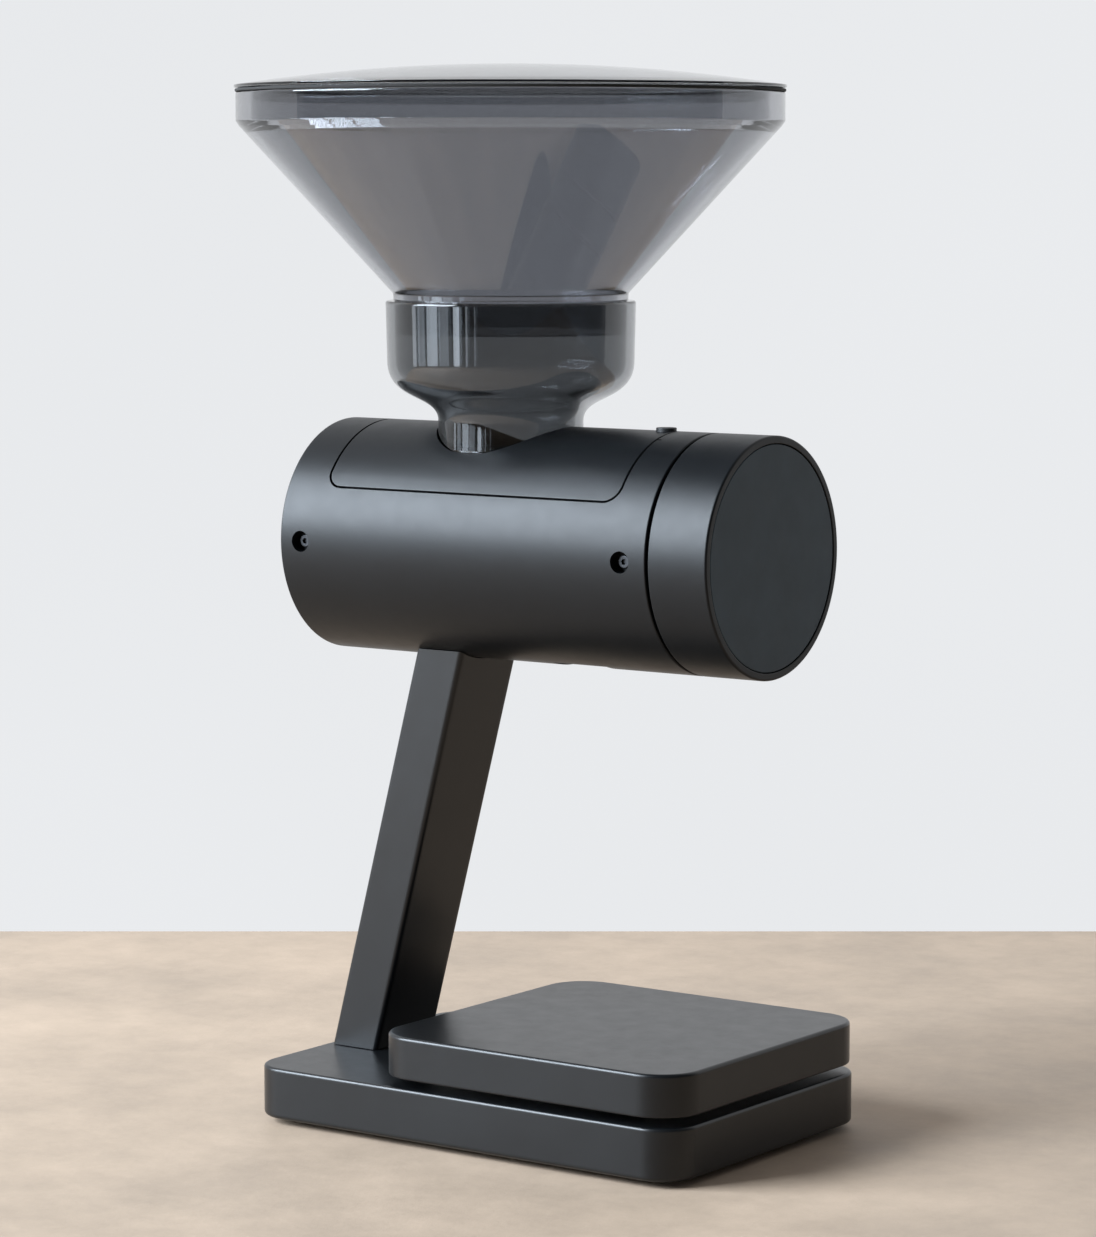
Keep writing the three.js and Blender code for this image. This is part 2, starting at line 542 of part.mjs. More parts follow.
// A panel of the body's wall, centred on top, with corners rounded on the curved surface.
function saddle(inner, outer, back, front, halfAngle, corner) {
  const sector = new THREE.Shape();
  const start = Math.PI / 2 - halfAngle;
  const end = Math.PI / 2 + halfAngle;
  sector.absarc(0, 0, outer, start, end, false);
  sector.absarc(0, 0, inner, end, start, true);
  let panel = pushedX(sector, back, front, 8);
  for (const side of [-1, 1]) {
    for (const [x, direction] of [[back, 1], [front, -1]]) {
      const turn = -side * THREE.MathUtils.radToDeg(halfAngle);
      const tool = cornerTool(corner).scale([direction, side, 1]).rotate([turn, 0, 0]);
      panel = panel.subtract(tool.translate([x, 0, 0]));
    }
  }
  return panel;
}

// What rounding one corner takes away: a square with a quarter disc left out of it, pushed along +Z.
function cornerTool(corner) {
  const outline = new THREE.Shape();
  outline.moveTo(-OVERCUT, OVERCUT);
  outline.lineTo(-OVERCUT, -corner);
  outline.lineTo(0, -corner);
  outline.absarc(corner, -corner, corner, Math.PI, Math.PI / 2, true);
  outline.lineTo(corner, OVERCUT);
  return raised(outline, 0, 2 * BODY_RADIUS, 3);
}

function neckHole(radius, from, to) {
  return rodZ(radius, from, to, 0, 0, 32);
}

// A rod out through the wall, level, on the side given.
function sideRod(radius, from, to, side, x, segments) {
  const turn = -side * 90;
  return rodZ(radius, from, to, 0, 0, segments).rotate([turn, 0, 0]).translate([x, 0, 0]);
}

function addBodyShell() {
  const seamAngle = COVER_SEAM / BODY_RADIUS;
  const ledgeAngle = COVER_LEDGE / BODY_RADIUS;
  const outside = BODY_RADIUS + OVERCUT;
  let shell = ringX(SHELL_INNER, BODY_RADIUS, BODY_BACK, SHELL_FRONT, 32);
  shell = shell.subtract(saddle(COVER_UNDERSIDE - GAP, outside, COVER_BACK - COVER_SEAM,
    COVER_FRONT + COVER_SEAM, COVER_HALF_ANGLE + seamAngle, COVER_CORNER + COVER_SEAM));
  shell = shell.subtract(saddle(SHELL_INNER - 2 * OVERCUT, BODY_RADIUS, COVER_BACK + COVER_LEDGE,
    COVER_FRONT - COVER_LEDGE, COVER_HALF_ANGLE - ledgeAngle, COVER_CORNER));
  shell = shell.subtract(rodZ(RELEASE_CUP_SPACE, SHELL_INNER / 2, COVER_UNDERSIDE, RELEASE_X, 0, 16));
  const { radius, depth } = FRAME_SCREW_WELL;
  for (const x of FRAME_SCREW_X) {
    for (const side of [-1, 1]) {
      shell = shell.subtract(sideRod(radius, BODY_RADIUS - depth, outside, side, x, 16));
      shell = shell.subtract(sideRod(FRAME_SCREW.shank + GAP, SHELL_INNER - 2 * OVERCUT, outside, side, x));
    }
  }
  const downThrough = (hole, y) => rodZ(hole, -outside, -SHELL_INNER / 2, POST_HEAD_X, y);
  for (const side of [-1, 1]) {
    shell = shell.subtract(downThrough(POST_SCREW.shank + GAP, side * POST_SCREW.spread));
  }
  shell = shell.subtract(downThrough(POST_CHANNEL.length / 2 - OVERCUT, 0));
  addPart(body, 'body_shell', shell.subtract(chuteSpace(GAP)), FINISH.anodised);
}

// What lies ahead of the cover's front edge, less a clearance.
function pastCoverFront(clearance) {
  const reach = 2 * BODY_RADIUS;
  return box(at(COVER_FRONT - clearance, -reach, 0), at(COVER_FRONT + reach, reach, reach));
}

function addTopCover() {
  const above = BODY_RADIUS + OVERCUT;
  let cover = saddle(COVER_UNDERSIDE, BODY_RADIUS, COVER_BACK, COVER_FRONT, COVER_HALF_ANGLE, COVER_CORNER);
  cover = cover.subtract(neckHole(NECK_HOLE_RADIUS, 0, above));
  const { inner, wall, depth, floor, roof } = RELEASE_CUP;
  const cupBottom = COVER_UNDERSIDE - depth;
  const cup = rodZ(inner + wall, cupBottom, COVER_UNDERSIDE + RUN, RELEASE_X, 0, 16);
  cover = cover.add(cup.subtract(pastCoverFront(0)));
  cover = cover.subtract(rodZ(inner, cupBottom + floor, COVER_UNDERSIDE - roof, RELEASE_X, 0, 16));
  cover = cover.subtract(rodZ(RELEASE.radius + GAP, cupBottom + 2 * floor, above, RELEASE_X, 0, 16));
  addPart(body, 'top_cover', cover, FINISH.anodised);
}

function addReleaseButton() {
  const { radius, proud, bevel, flange } = RELEASE;
  const flangeTop = COVER_UNDERSIDE - RELEASE_CUP.roof - GAP;
  const flangeBottom = flangeTop - flange;
  const flangeRadius = RELEASE_CUP.inner - GAP;
  const top = BODY_RADIUS + proud;
  const button = turnedZ([[0, flangeBottom], [flangeRadius, flangeBottom], [flangeRadius, flangeTop],
    [radius, flangeTop], [radius, top - bevel], [radius - bevel, top], [0, top]], 16);
  const trimmed = button.translate([RELEASE_X, 0, 0]).subtract(pastCoverFront(GAP));
  addPart(body, 'release_button', trimmed, FINISH.blackPlastic);
  const springBottom = COVER_UNDERSIDE - RELEASE_CUP.depth + RELEASE_CUP.floor + GAP;
  const spring = coilX(RELEASE_SPRING, springBottom, flangeBottom - GAP).rotate([0, -90, 0]);
  addPart(body, 'release_spring', spring, FINISH.steel).position.x = RELEASE_X;
}

function addFrameScrews() {
  const seat = BODY_RADIUS - FRAME_SCREW_WELL.depth + GAP;
  let number = 1;
  for (const x of FRAME_SCREW_X) {
    for (const side of [-1, 1]) {
      const screw = addPart(body, `frame_screw_${number}`, capScrew(FRAME_SCREW), FINISH.darkSteel);
      screw.rotation.x = -side * Math.PI / 2;
      screw.position.set(x, side * seat, 0);
      number += 1;
    }
  }
}

// ---------------------------------------------------------------- rear end and motor

function drilledForFrameScrews(solid, x) {
  const inmost = BODY_RADIUS - FRAME_SCREW_WELL.depth - FRAME_SCREW.length - OVERCUT;
  const hole = (side) => sideRod(FRAME_SCREW.shank + GAP, inmost, CORE_RADIUS + OVERCUT, side, x);
  return solid.subtract(hole(-1)).subtract(hole(1));
}

function addRearEnd() {
  const capBack = BODY_BACK + CAP_RECESS;
  addPart(body, 'rear_cap', ringX(START.radius + GAP, CORE_RADIUS, capBack, CAP_FRONT), FINISH.dialFace);

  const buttonBack = BODY_BACK - START.proud;
  const flangeBack = CAP_FRONT + GAP;
  const flangeFront = flangeBack + START.flangeThickness;
  const flangeRadius = START.radius + START.flange;
  const button = turnedX([[0, buttonBack], [START.radius - START.bevel, buttonBack],
    [START.radius, buttonBack + START.bevel], [START.radius, flangeBack], [flangeRadius, flangeBack],
    [flangeRadius, flangeFront], [0, flangeFront]], 24);
  addPart(body, 'start_button', button, FINISH.blackPlastic);

  const front = REAR_BULKHEAD_FRONT;
  const seat = rodX(END_BEARING.radius + GAP, front - END_BEARING.length - GAP, front + OVERCUT);
  const bulkhead = rodX(CORE_RADIUS, REAR_BULKHEAD_BACK, front, 32).subtract(seat);
  addPart(body, 'rear_bulkhead', drilledForFrameScrews(bulkhead, REAR_FRAME_SCREW), FINISH.castAlloy);
  const bearing = ringX(JOURNAL_BORE, END_BEARING.radius, front - END_BEARING.length, front - GAP, 20);
  addPart(body, 'rear_bearing', bearing, FINISH.steel);
}

function addMotor() {
  const { inner, margin, thickness } = CONTROL_BOARD;
  const board = ringX(inner, CORE_RADIUS - margin, CONTROL_BOARD_BACK, CONTROL_BOARD_BACK + thickness, 24);
  addPart(body, 'motor_control_board', board, FINISH.board);
  addPart(body, 'motor_windings', windingRing(WINDING_BACK, WINDING_BACK + WINDING.length), FINISH.copper);

  const statorFront = STATOR_BACK + STATOR.length;
  addPart(body, 'motor_stator', pushedX(statorShape(), STATOR_BACK, statorFront, 20), FINISH.steel);
  const rotor = ringX(SHAFT_BORE, STATOR_INNER - ROTOR_AIR_GAP, STATOR_BACK, statorFront - RUN, 32);
  addPart(body, 'motor_rotor', rotor, FINISH.darkSteel);
  const spring = coilX(SPRING, REAR_BULKHEAD_FRONT + GAP, STATOR_BACK - 2 * RUN);
  addPart(body, 'return_spring', spring, FINISH.steel);
}

// The stack of laminations: a ring with open slots round its bore.
function statorShape() {
  const shape = new THREE.Shape().absarc(0, 0, CORE_RADIUS, 0, 2 * Math.PI);
  const bore = new THREE.Path();
  const pitch = 2 * Math.PI / STATOR.teeth;
  const mouth = pitch * 0.14;
  const slotFloor = STATOR_INNER + STATOR.slotDepth;
  for (let tooth = 0; tooth < STATOR.teeth; tooth += 1) {
    const middle = tooth * pitch;
    for (const [radius, angle] of [[STATOR_INNER, mouth - pitch / 2], [STATOR_INNER, -mouth],
      [slotFloor, -mouth], [slotFloor, mouth]]) {
      const x = radius * Math.cos(middle + angle);
      const y = radius * Math.sin(middle + angle);
      if (tooth === 0 && bore.curves.length === 0 && angle === mouth - pitch / 2) bore.moveTo(x, y);
      else bore.lineTo(x, y);
    }
  }
  bore.closePath();
  shape.holes.push(bore);
  return shape;
}

// The coil ends: a ring with one bulge over each tooth.
function windingRing(from, to) {
  const shape = new THREE.Shape();
  const count = STATOR.teeth * 4;
  const outline = [];
  for (let i = 0; i < count; i += 1) {
    const angle = 2 * Math.PI * i / count;
    const radius = CORE_RADIUS - WINDING.margin + WINDING.lobe * Math.cos(angle * STATOR.teeth);
    outline.push(new THREE.Vector2(radius * Math.cos(angle), radius * Math.sin(angle)));
  }
  shape.setFromPoints(outline);
  shape.holes.push(new THREE.Path().absarc(0, 0, STATOR_INNER + OVERCUT, 0, 2 * Math.PI));
  return pushedX(shape, from, to, 18);
}

// ---------------------------------------------------------------- feed and burrs

function addMiddleBulkhead() {
  const back = MIDDLE_BULKHEAD_BACK;
  const front = back + MIDDLE_BULKHEAD_LENGTH;
  const seatBack = back + (MIDDLE_BULKHEAD_LENGTH - MIDDLE_BEARING.length) / 2;
  const bore = SHAFT_BORE + RUN;
  const seat = MIDDLE_BEARING.radius + GAP;
  const bulkhead = turnedX([[bore, back], [CORE_RADIUS, back], [CORE_RADIUS, front], [seat, front],
    [seat, seatBack - GAP], [bore, seatBack - GAP]]);
  addPart(body, 'middle_bulkhead', bulkhead, FINISH.castAlloy);
  const bearing = ringX(SHAFT_BORE, MIDDLE_BEARING.radius, seatBack, seatBack + MIDDLE_BEARING.length, 20);
  addPart(body, 'middle_bearing', bearing, FINISH.steel);
}

function addFeedChamber() {
  const front = BURR_CHAMBER_BACK - 2 * GAP;
  const floor = FEED_BACK + FEED.floor;
  const channel = rodX(FEED.bore, floor, front + OVERCUT, 32);
  const shaftHole = rodX(SHAFT_BORE + RUN, FEED_BACK - OVERCUT, floor + OVERCUT);
  let chamber = rodX(CORE_RADIUS, FEED_BACK, front, 32).subtract(channel).subtract(shaftHole);
  chamber = chamber.subtract(neckHole(THROAT_RADIUS, 0, BODY_RADIUS));
  chamber = chamber.subtract(neckHole(NECK_HOLE_RADIUS, NECK_SEAT, BODY_RADIUS));
  const headRadius = POST_SCREW.head + RUN;
  const headTop = -Math.sqrt(SHELL_INNER ** 2 - (POST_SCREW.spread + POST_SCREW.head) ** 2)
    + POST_SCREW.headHeight + 2 * RUN;
  for (const side of [-1, 1]) {
    chamber = chamber.subtract(rodZ(headRadius, -BODY_RADIUS, headTop, POST_HEAD_X, side * POST_SCREW.spread));
  }
  addPart(body, 'feed_chamber', chamber.subtract(chuteSpace(GAP)), FINISH.castAlloy);

  const gasketBottom = NECK_SEAT + GAP;
  const gasket = ringPoints(THROAT_RADIUS + GAP, NECK_RADIUS, gasketBottom, gasketBottom + GASKET_HEIGHT);
  addPart(body, 'throat_gasket', turnedZ(gasket, 32), FINISH.rubber);
}

// A hub with two blades, pushed along the shaft and twisted as it goes.
function addAuger() {
  const { hub, blade, turns } = AUGER;
  const radius = FEED.bore - AUGER.tipSpace;
  const back = FEED_BACK + FEED.floor + 2 * RUN;
  const front = STATIONARY_BURR_BACK - RUN;
  const outline = new THREE.Shape();
  const rootAngle = Math.asin(blade / 2 / hub);
  const tipAngle = Math.asin(blade / 2 / radius);
  outline.absarc(0, 0, radius, -tipAngle, tipAngle, false);
  outline.absarc(0, 0, hub, rootAngle, Math.PI - rootAngle, false);
  outline.absarc(0, 0, radius, Math.PI - tipAngle, Math.PI + tipAngle, false);
  outline.absarc(0, 0, hub, Math.PI + rootAngle, 2 * Math.PI - rootAngle, false);
  const options = { depth: front - back, bevelEnabled: false, steps: 10, curveSegments: 3 };
  const geometry = new THREE.ExtrudeGeometry(outline, options);
  const place = geometry.attributes.position;
  const point = new THREE.Vector3();
  const axis = at(0, 0, 1);
  for (let i = 0; i < place.count; i += 1) {
    point.fromBufferAttribute(place, i);
    point.applyAxisAngle(axis, 2 * Math.PI * turns * point.z / (front - back));
    place.setXYZ(i, point.x, point.y, point.z);
  }
  geometry.rotateX(Math.PI / 2).rotateZ(Math.PI / 2).translate(back, 0, 0);
  const bore = rodX(SHAFT_BORE, back - OVERCUT, front + OVERCUT);
  addPart(body, 'feed_auger', solidOf(geometry).subtract(bore), FINISH.steel);
}

function addShaft() {
  const rearEnd = REAR_BULKHEAD_FRONT - END_BEARING.length + RUN;
  const rearShoulder = REAR_BULKHEAD_FRONT + OVERCUT;
  const frontShoulder = PLUNGER_BACK - OVERCUT;
  const frontEnd = PLUNGER_BACK + END_BEARING.length + OVERCUT;
  const shaft = turnedX([[0, rearEnd], [JOURNAL_RADIUS, rearEnd], [JOURNAL_RADIUS, rearShoulder],
    [SHAFT_RADIUS, rearShoulder], [SHAFT_RADIUS, frontShoulder], [JOURNAL_RADIUS, frontShoulder],
    [JOURNAL_RADIUS, frontEnd], [0, frontEnd]], 24);
  addPart(body, 'drive_shaft', shaft, FINISH.steel);
}

function chuteSpace(clearance) {
  const halfLength = CHUTE.length / 2 + clearance;
  const halfWidth = CHUTE.width / 2;
  const top = -Math.sqrt(CHAMBER_INNER ** 2 - halfWidth ** 2) + clearance;
  const bottom = -BODY_RADIUS - OVERCUT;
  const from = at(BURR_MIDDLE - halfLength, -halfWidth - clearance, bottom);
  return box(from, at(BURR_MIDDLE + halfLength, halfWidth + clearance, top));
}

function addBurrChamber() {
  const back = BURR_CHAMBER_BACK;
  const front = BURR_CHAMBER_FRONT;
  const seat = back + BURR_CHAMBER.floor;
  const cup = turnedX([[FEED.bore, back], [CORE_RADIUS, back], [CORE_RADIUS, front],
    [CHAMBER_INNER, front], [CHAMBER_INNER, seat], [FEED.bore, seat]]);
  addPart(body, 'burr_chamber', cup.subtract(chuteSpace(GAP)), FINISH.castAlloy);
  const cover = ringX(CARRIER.hub + RUN, CORE_RADIUS, front + GAP, CHAMBER_COVER_FRONT);
  addPart(body, 'chamber_cover', cover, FINISH.castAlloy);
}

// A rectangular spout. Its top follows the round chamber and its end lies just inside the body.
function addChute() {
  const halfLength = CHUTE.length / 2;
  const halfWidth = CHUTE.width / 2;
  const bottom = -BODY_RADIUS + CHUTE.recess;
  const spout = (inset, from, to) => box(
    at(BURR_MIDDLE - halfLength + inset, -halfWidth + inset, from),
    at(BURR_MIDDLE + halfLength - inset, halfWidth - inset, to));
  const passage = spout(CHUTE.wall, bottom - OVERCUT, OVERCUT);
  const burrSpace = rodX(CHAMBER_INNER, BODY_BACK, SHELL_FRONT, 48);
  const chute = spout(0, bottom, 0).subtract(passage).subtract(burrSpace);
  addPart(body, 'exit_chute', chute, FINISH.blackPlastic);
}

// A ring with a sloping entry and slanted cutting grooves. It cuts towards +X.
function burrRing() {
  const { inner, thickness, grooves, groove, entry } = BURR;
  let ring = turnedX([[inner, 0], [BURR_OUTER, 0], [BURR_OUTER, thickness], [inner + 2 * entry, thickness],
    [inner, thickness - entry]], 32);
  const cutter = new THREE.Shape();
  cutter.moveTo(-groove, OVERCUT / 2);
  cutter.lineTo(0, -groove);
  cutter.lineTo(groove, OVERCUT / 2);
  const slant = 14;
  for (let i = 0; i < grooves; i += 1) {
    const tool = raised(cutter, inner - 3, BURR_OUTER - 3).rotate([0, 0, -90]).rotate([slant, 0, 0]);
    ring = ring.subtract(tool.scale([-1, 1, 1]).translate([thickness, 0, 0]).rotate([i * 360 / grooves, 0, 0]));
  }
  return ring;
}

function addBurrs() {
  addPart(body, 'stationary_burr', burrRing(), FINISH.steel).position.x = STATIONARY_BURR_BACK;
  const rotating = addPart(body, 'rotating_burr', burrRing(), FINISH.steel);
  rotating.rotation.z = Math.PI;
  rotating.position.x = ROTATING_BURR_BACK + BURR.thickness;

  const hubFront = CARRIER_DISC_FRONT + CARRIER.hubLength;
  let carrier = turnedX([[SHAFT_BORE, CARRIER_BACK], [CARRIER_OUTER, CARRIER_BACK],
    [CARRIER_OUTER, CARRIER_DISC_FRONT], [CARRIER.hub, CARRIER_DISC_FRONT], [CARRIER.hub, hubFront],
    [SHAFT_BORE, hubFront]], 32);
  const half = CARRIER.vane / 2;
  for (const turn of [0, 120, 240]) {
    const from = at(CARRIER_BACK + OVERCUT, -half, CARRIER_OUTER - 2 * OVERCUT);
    const vane = box(from, at(CARRIER_DISC_FRONT - OVERCUT, half, CHAMBER_INNER - GAP));
    carrier = carrier.add(vane.rotate([turn, 0, 0]));
  }
  addPart(body, 'burr_carrier', carrier, FINISH.castAlloy);
}

// ---------------------------------------------------------------- grind adjustment

function addThrust() {
  const { body: outer, nose, key, end } = PLUNGER;
  const back = PLUNGER_BACK;
  const front = DIAL_WEB - end;
  const seat = back + END_BEARING.length + 2 * GAP;
  const journalSpace = seat + 2 * OVERCUT;
  const bearingRadius = END_BEARING.radius + GAP;
  const pinRadius = JOURNAL_BORE + GAP;
  const sleeve = turnedX([[bearingRadius, back], [outer, back], [outer, PLUNGER_SHOULDER],
    [nose, PLUNGER_SHOULDER], [nose, front], [0, front], [0, journalSpace], [pinRadius, journalSpace],
    [pinRadius, seat], [bearingRadius, seat]], 24);
  const keyBar = box(at(FRONT_BULKHEAD_BACK + 2, -key, 0), at(PLUNGER_SHOULDER - 2, key, outer + key));
  const keyOnly = keyBar.subtract(rodX(outer - OVERCUT, back, PLUNGER_SHOULDER));
  addPart(body, 'thrust_plunger', sleeve.add(keyOnly), FINISH.steel);
  const bearing = ringX(JOURNAL_BORE, END_BEARING.radius, back + GAP, back + GAP + END_BEARING.length, 24);
  addPart(body, 'thrust_bearing', bearing, FINISH.steel);
}

function addFrontBulkhead() {
  const back = FRONT_BULKHEAD_BACK;
  const front = FRONT_BULKHEAD_FRONT;
  const bore = PLUNGER.body + GAP;
  const hubSpace = DIAL_HUB_OUTER + RUN;
  const hubBack = PLUNGER_SHOULDER - OVERCUT;
  let bulkhead = turnedX([[bore, back], [CORE_RADIUS, back], [CORE_RADIUS, front],
    [DIAL_JOURNAL_RADIUS, front], [DIAL_JOURNAL_RADIUS, DIAL_JOURNAL_FRONT], [hubSpace, DIAL_JOURNAL_FRONT],
    [hubSpace, hubBack], [bore, hubBack]]);
  const key = PLUNGER.key + GAP;
  const keyway = box(at(back - OVERCUT, -key, 0), at(hubBack + OVERCUT, key, PLUNGER.body + key));
  bulkhead = bulkhead.subtract(keyway);
  bulkhead = bulkhead.subtract(rodZ(RELEASE_CUP_SPACE, CORE_RADIUS / 2, BODY_RADIUS, RELEASE_X, 0, 16));
  addPart(body, 'front_bulkhead', drilledForFrameScrews(bulkhead, FRONT_FRAME_SCREW), FINISH.castAlloy);

  const retainer = ringX(hubSpace, RETAINER_RADIUS, RETAINER_BACK, RETAINER_BACK + RETAINER.thickness, 32);
  addPart(body, 'dial_retainer', retainer, FINISH.steel);
}

function addDial() {
  const { rim, skirt, bevel } = DIAL;
  const bore = DIAL_JOURNAL_RADIUS + RUN;
  const retainerSpace = RETAINER_RADIUS + RUN;
  const faceRadius = BODY_RADIUS - rim;
  const hubBack = PLUNGER_SHOULDER + DIAL.hubSpace;
  const hubFloor = DIAL_WEB + 2 * GAP;
  const step = DIAL_JOURNAL_FRONT - GAP;
  const skirtBack = DIAL_BACK - skirt;
  const dial = turnedX([[0, DIAL_FLOOR], [faceRadius + GAP, DIAL_FLOOR], [faceRadius + GAP, DIAL_FRONT],
    [BODY_RADIUS - bevel, DIAL_FRONT], [BODY_RADIUS, DIAL_FRONT - bevel], [BODY_RADIUS, DIAL_BACK],
    [CORE_RADIUS, DIAL_BACK], [CORE_RADIUS, skirtBack], [bore, skirtBack], [bore, step],
    [retainerSpace, step], [retainerSpace, DIAL_WEB], [DIAL_HUB_OUTER, DIAL_WEB], [DIAL_HUB_OUTER, hubBack],
    [DIAL_HUB_INNER, hubBack], [DIAL_HUB_INNER, hubFloor], [0, hubFloor]], 40);
  addPart(body, 'adjustment_dial', dial, FINISH.anodised);

  const front = DIAL_FRONT - FACE.recess;
  const back = front - FACE.thickness;
  const face = turnedX([[0, back], [faceRadius, back], [faceRadius, front - FACE.bevel],
    [faceRadius - FACE.bevel, front], [0, front]], 48);
  addPart(body, 'dial_face', face, FINISH.dialFace);
}

// ---------------------------------------------------------------- hopper

// Points on the collar's S-shaped flare, from its neck up to its straight side.
function flarePoints(offset) {
  const collarFoot = COLLAR.radius - COLLAR.taper;
  const curve = new THREE.CubicBezierCurve(
    new THREE.Vector2(NECK_RADIUS, FLARE.start), new THREE.Vector2(NECK_RADIUS, FLARE.start + FLARE.lower),
    new THREE.Vector2(collarFoot, FLARE.end - FLARE.upper), new THREE.Vector2(collarFoot, FLARE.end));
  const points = [];
  for (let i = 0; i <= FLARE.steps; i += 1) {
    const point = curve.getPoint(i / FLARE.steps);
    const tangent = curve.getTangent(i / FLARE.steps);
    points.push([point.x - offset * tangent.y, point.y + offset * tangent.x]);
  }
  return points;
}

function addCollar() {
  const { radius, top, wall, bevel } = COLLAR;
  const outside = [[NECK_RADIUS, -NECK_DEPTH], ...flarePoints(0), [radius, top - bevel], [radius - bevel, top]];
  const inside = [[NECK_RADIUS - wall, -NECK_DEPTH], ...flarePoints(wall), [radius - wall, top]];
  addPart(hopper, 'hopper_collar', turnedZ([...outside, ...inside.reverse()], 36), FINISH.smoke);
}

function addCone() {
  const foot = COLLAR.top + GAP;
  const footRadius = CONE_RADIUS - CONE_FOOT.inset;
  const spigotOuter = COLLAR.radius - COLLAR.wall - RUN;
  const spigotInner = spigotOuter - SPIGOT.wall;
  const spigotBottom = foot - SPIGOT.depth;
  const innerTop = CONE_BASE + (RIM_INNER - CONE_RADIUS + CONE_WALL) / CONE_SLOPE;
  const cone = turnedZ([[spigotInner, spigotBottom], [spigotOuter, spigotBottom], [spigotOuter, foot],
    [footRadius, foot], [footRadius, CONE_BASE - CONE_FOOT.bevel], [CONE_RADIUS, CONE_BASE],
    [CONE_TOP_RADIUS, CONE_TOP], [RIM.radius - SHOULDER.round, RIM_FOOT],
    [RIM.radius, RIM_FOOT + SHOULDER.roundHeight], [RIM.radius, RIM_TOP], [RIM_INNER, RIM_TOP],
    [RIM_INNER, innerTop], [CONE_RADIUS - CONE_WALL, CONE_BASE]], 48);
  addPart(hopper, 'hopper_cone', cone, FINISH.smoke);
}

function addLid() {
  const sealBottom = RIM_TOP + GAP;
  const sealOuter = RIM.radius + SEAL.proud;
  const seal = ringPoints(sealOuter - SEAL.width, sealOuter, sealBottom, sealBottom + SEAL.height);
  addPart(hopper, 'lid_seal', turnedZ(seal, 48), FINISH.rubber);

  const { radius, rise, thickness } = LID;
  const plugOuter = RIM_INNER - RUN;
  const plugInner = plugOuter - LID.plugWall;
  const plugBottom = LID_BOTTOM - LID.plugDepth;
  const sphere = (radius ** 2 + rise ** 2) / (2 * rise);
  const domeAt = (r) => LID_BOTTOM + LID.edge + rise - sphere + Math.sqrt(sphere ** 2 - r ** 2);
  const rings = [1, 0.7, 0.35, 0];
  const dome = rings.map((share) => [radius * share, domeAt(radius * share)]);
  const underside = rings.map((share) => [plugInner * share, domeAt(plugInner * share) - thickness]);
  const lid = turnedZ([...dome, ...underside.reverse(), [plugInner, plugBottom], [plugOuter, plugBottom],
    [plugOuter, LID_BOTTOM], [radius, LID_BOTTOM]], 48);
  addPart(hopper, 'lid', lid, FINISH.smoke);
}

// ---------------------------------------------------------------- put together

addBase();
addBottomPlate();
addFeetAndPlateScrews();
addScale();
addPlatform();
addPowerInlet();
addPost();
addPostScrews();
addBodyShell();
addTopCover();
addReleaseButton();
addFrameScrews();
addRearEnd();
addMotor();
addMiddleBulkhead();
addFeedChamber();
addAuger();
addShaft();
addBurrChamber();
addChute();
addBurrs();
addThrust();
addFrontBulkhead();
addDial();
addCollar();
addCone();
addLid();

// The part's origin is under the middle of the whole grinder's length.
const backmost = Math.min(-LID.radius, BASE_BACK, BODY_BACK - START.proud);
const frontmost = Math.max(LID.radius, BASE_FRONT, DIAL_FRONT);
machine.position.x = -(backmost + frontmost) / 2;

const group = new THREE.Group();
group.add(machine);
export default group;
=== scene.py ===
"""The looks of a pedestal coffee grinder: fine surfaces and finishes over its fixed, jointed frame."""

import math

import bmesh
import bpy
import numpy as np
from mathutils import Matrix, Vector


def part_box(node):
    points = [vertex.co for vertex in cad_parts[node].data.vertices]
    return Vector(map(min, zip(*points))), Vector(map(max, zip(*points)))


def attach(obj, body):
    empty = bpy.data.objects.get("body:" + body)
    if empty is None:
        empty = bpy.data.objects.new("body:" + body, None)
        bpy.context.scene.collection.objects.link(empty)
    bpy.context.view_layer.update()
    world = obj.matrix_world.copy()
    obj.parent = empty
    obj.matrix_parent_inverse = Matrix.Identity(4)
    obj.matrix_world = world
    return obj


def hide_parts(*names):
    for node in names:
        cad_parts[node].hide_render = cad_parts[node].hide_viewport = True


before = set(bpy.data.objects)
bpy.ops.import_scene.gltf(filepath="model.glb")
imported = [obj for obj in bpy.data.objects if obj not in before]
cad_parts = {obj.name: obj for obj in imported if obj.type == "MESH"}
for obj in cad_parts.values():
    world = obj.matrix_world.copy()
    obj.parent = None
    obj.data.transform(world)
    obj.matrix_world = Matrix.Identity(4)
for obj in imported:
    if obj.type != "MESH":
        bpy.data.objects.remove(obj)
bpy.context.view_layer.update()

bl_info = {
    "name": "Pedestal coffee grinder",
    "version": (1, 0, 0),
    "blender": (4, 5, 0),
    "location": "3D view > Sidebar > Grinder",
    "description": "Builds the grinder's fine surfaces, finishes and stage",
    "category": "Object",
}

MM = 0.001
FINE_STEPS = 384  # points round the body, the dial and the hopper
ROUND_STEPS = 192  # points round the start button
SMALL_STEPS = 96  # points round a foot, a screw and the release button
HOLE_STEPS = 64  # points round a hole's cutter and the release cup
CORNER_STEPS = 6  # steps in the arc of a rounded corner
CORNER_ROOM = 0.45  # share of the shorter line that a rounded corner may take up
NEARLY_STRAIGHT = math.radians(89)  # half of a corner's angle, past which it isn't rounded
SUPPORT = 0.25 * MM  # from a rounded edge to the row of points that keeps the flat beside it flat
SUPPORT_SHARE = 0.2  # share of a corner's room that this distance may take up
SHARP_EDGE = math.radians(33)  # an edge that bends more than this is shaded sharp
WELD = 1e-6  # points nearer than this are one point
CLEARANCE = 0.3 * MM  # between a piece and the space left for it
BEYOND = 2 * MM  # how far a cutter reaches past the wall it goes through


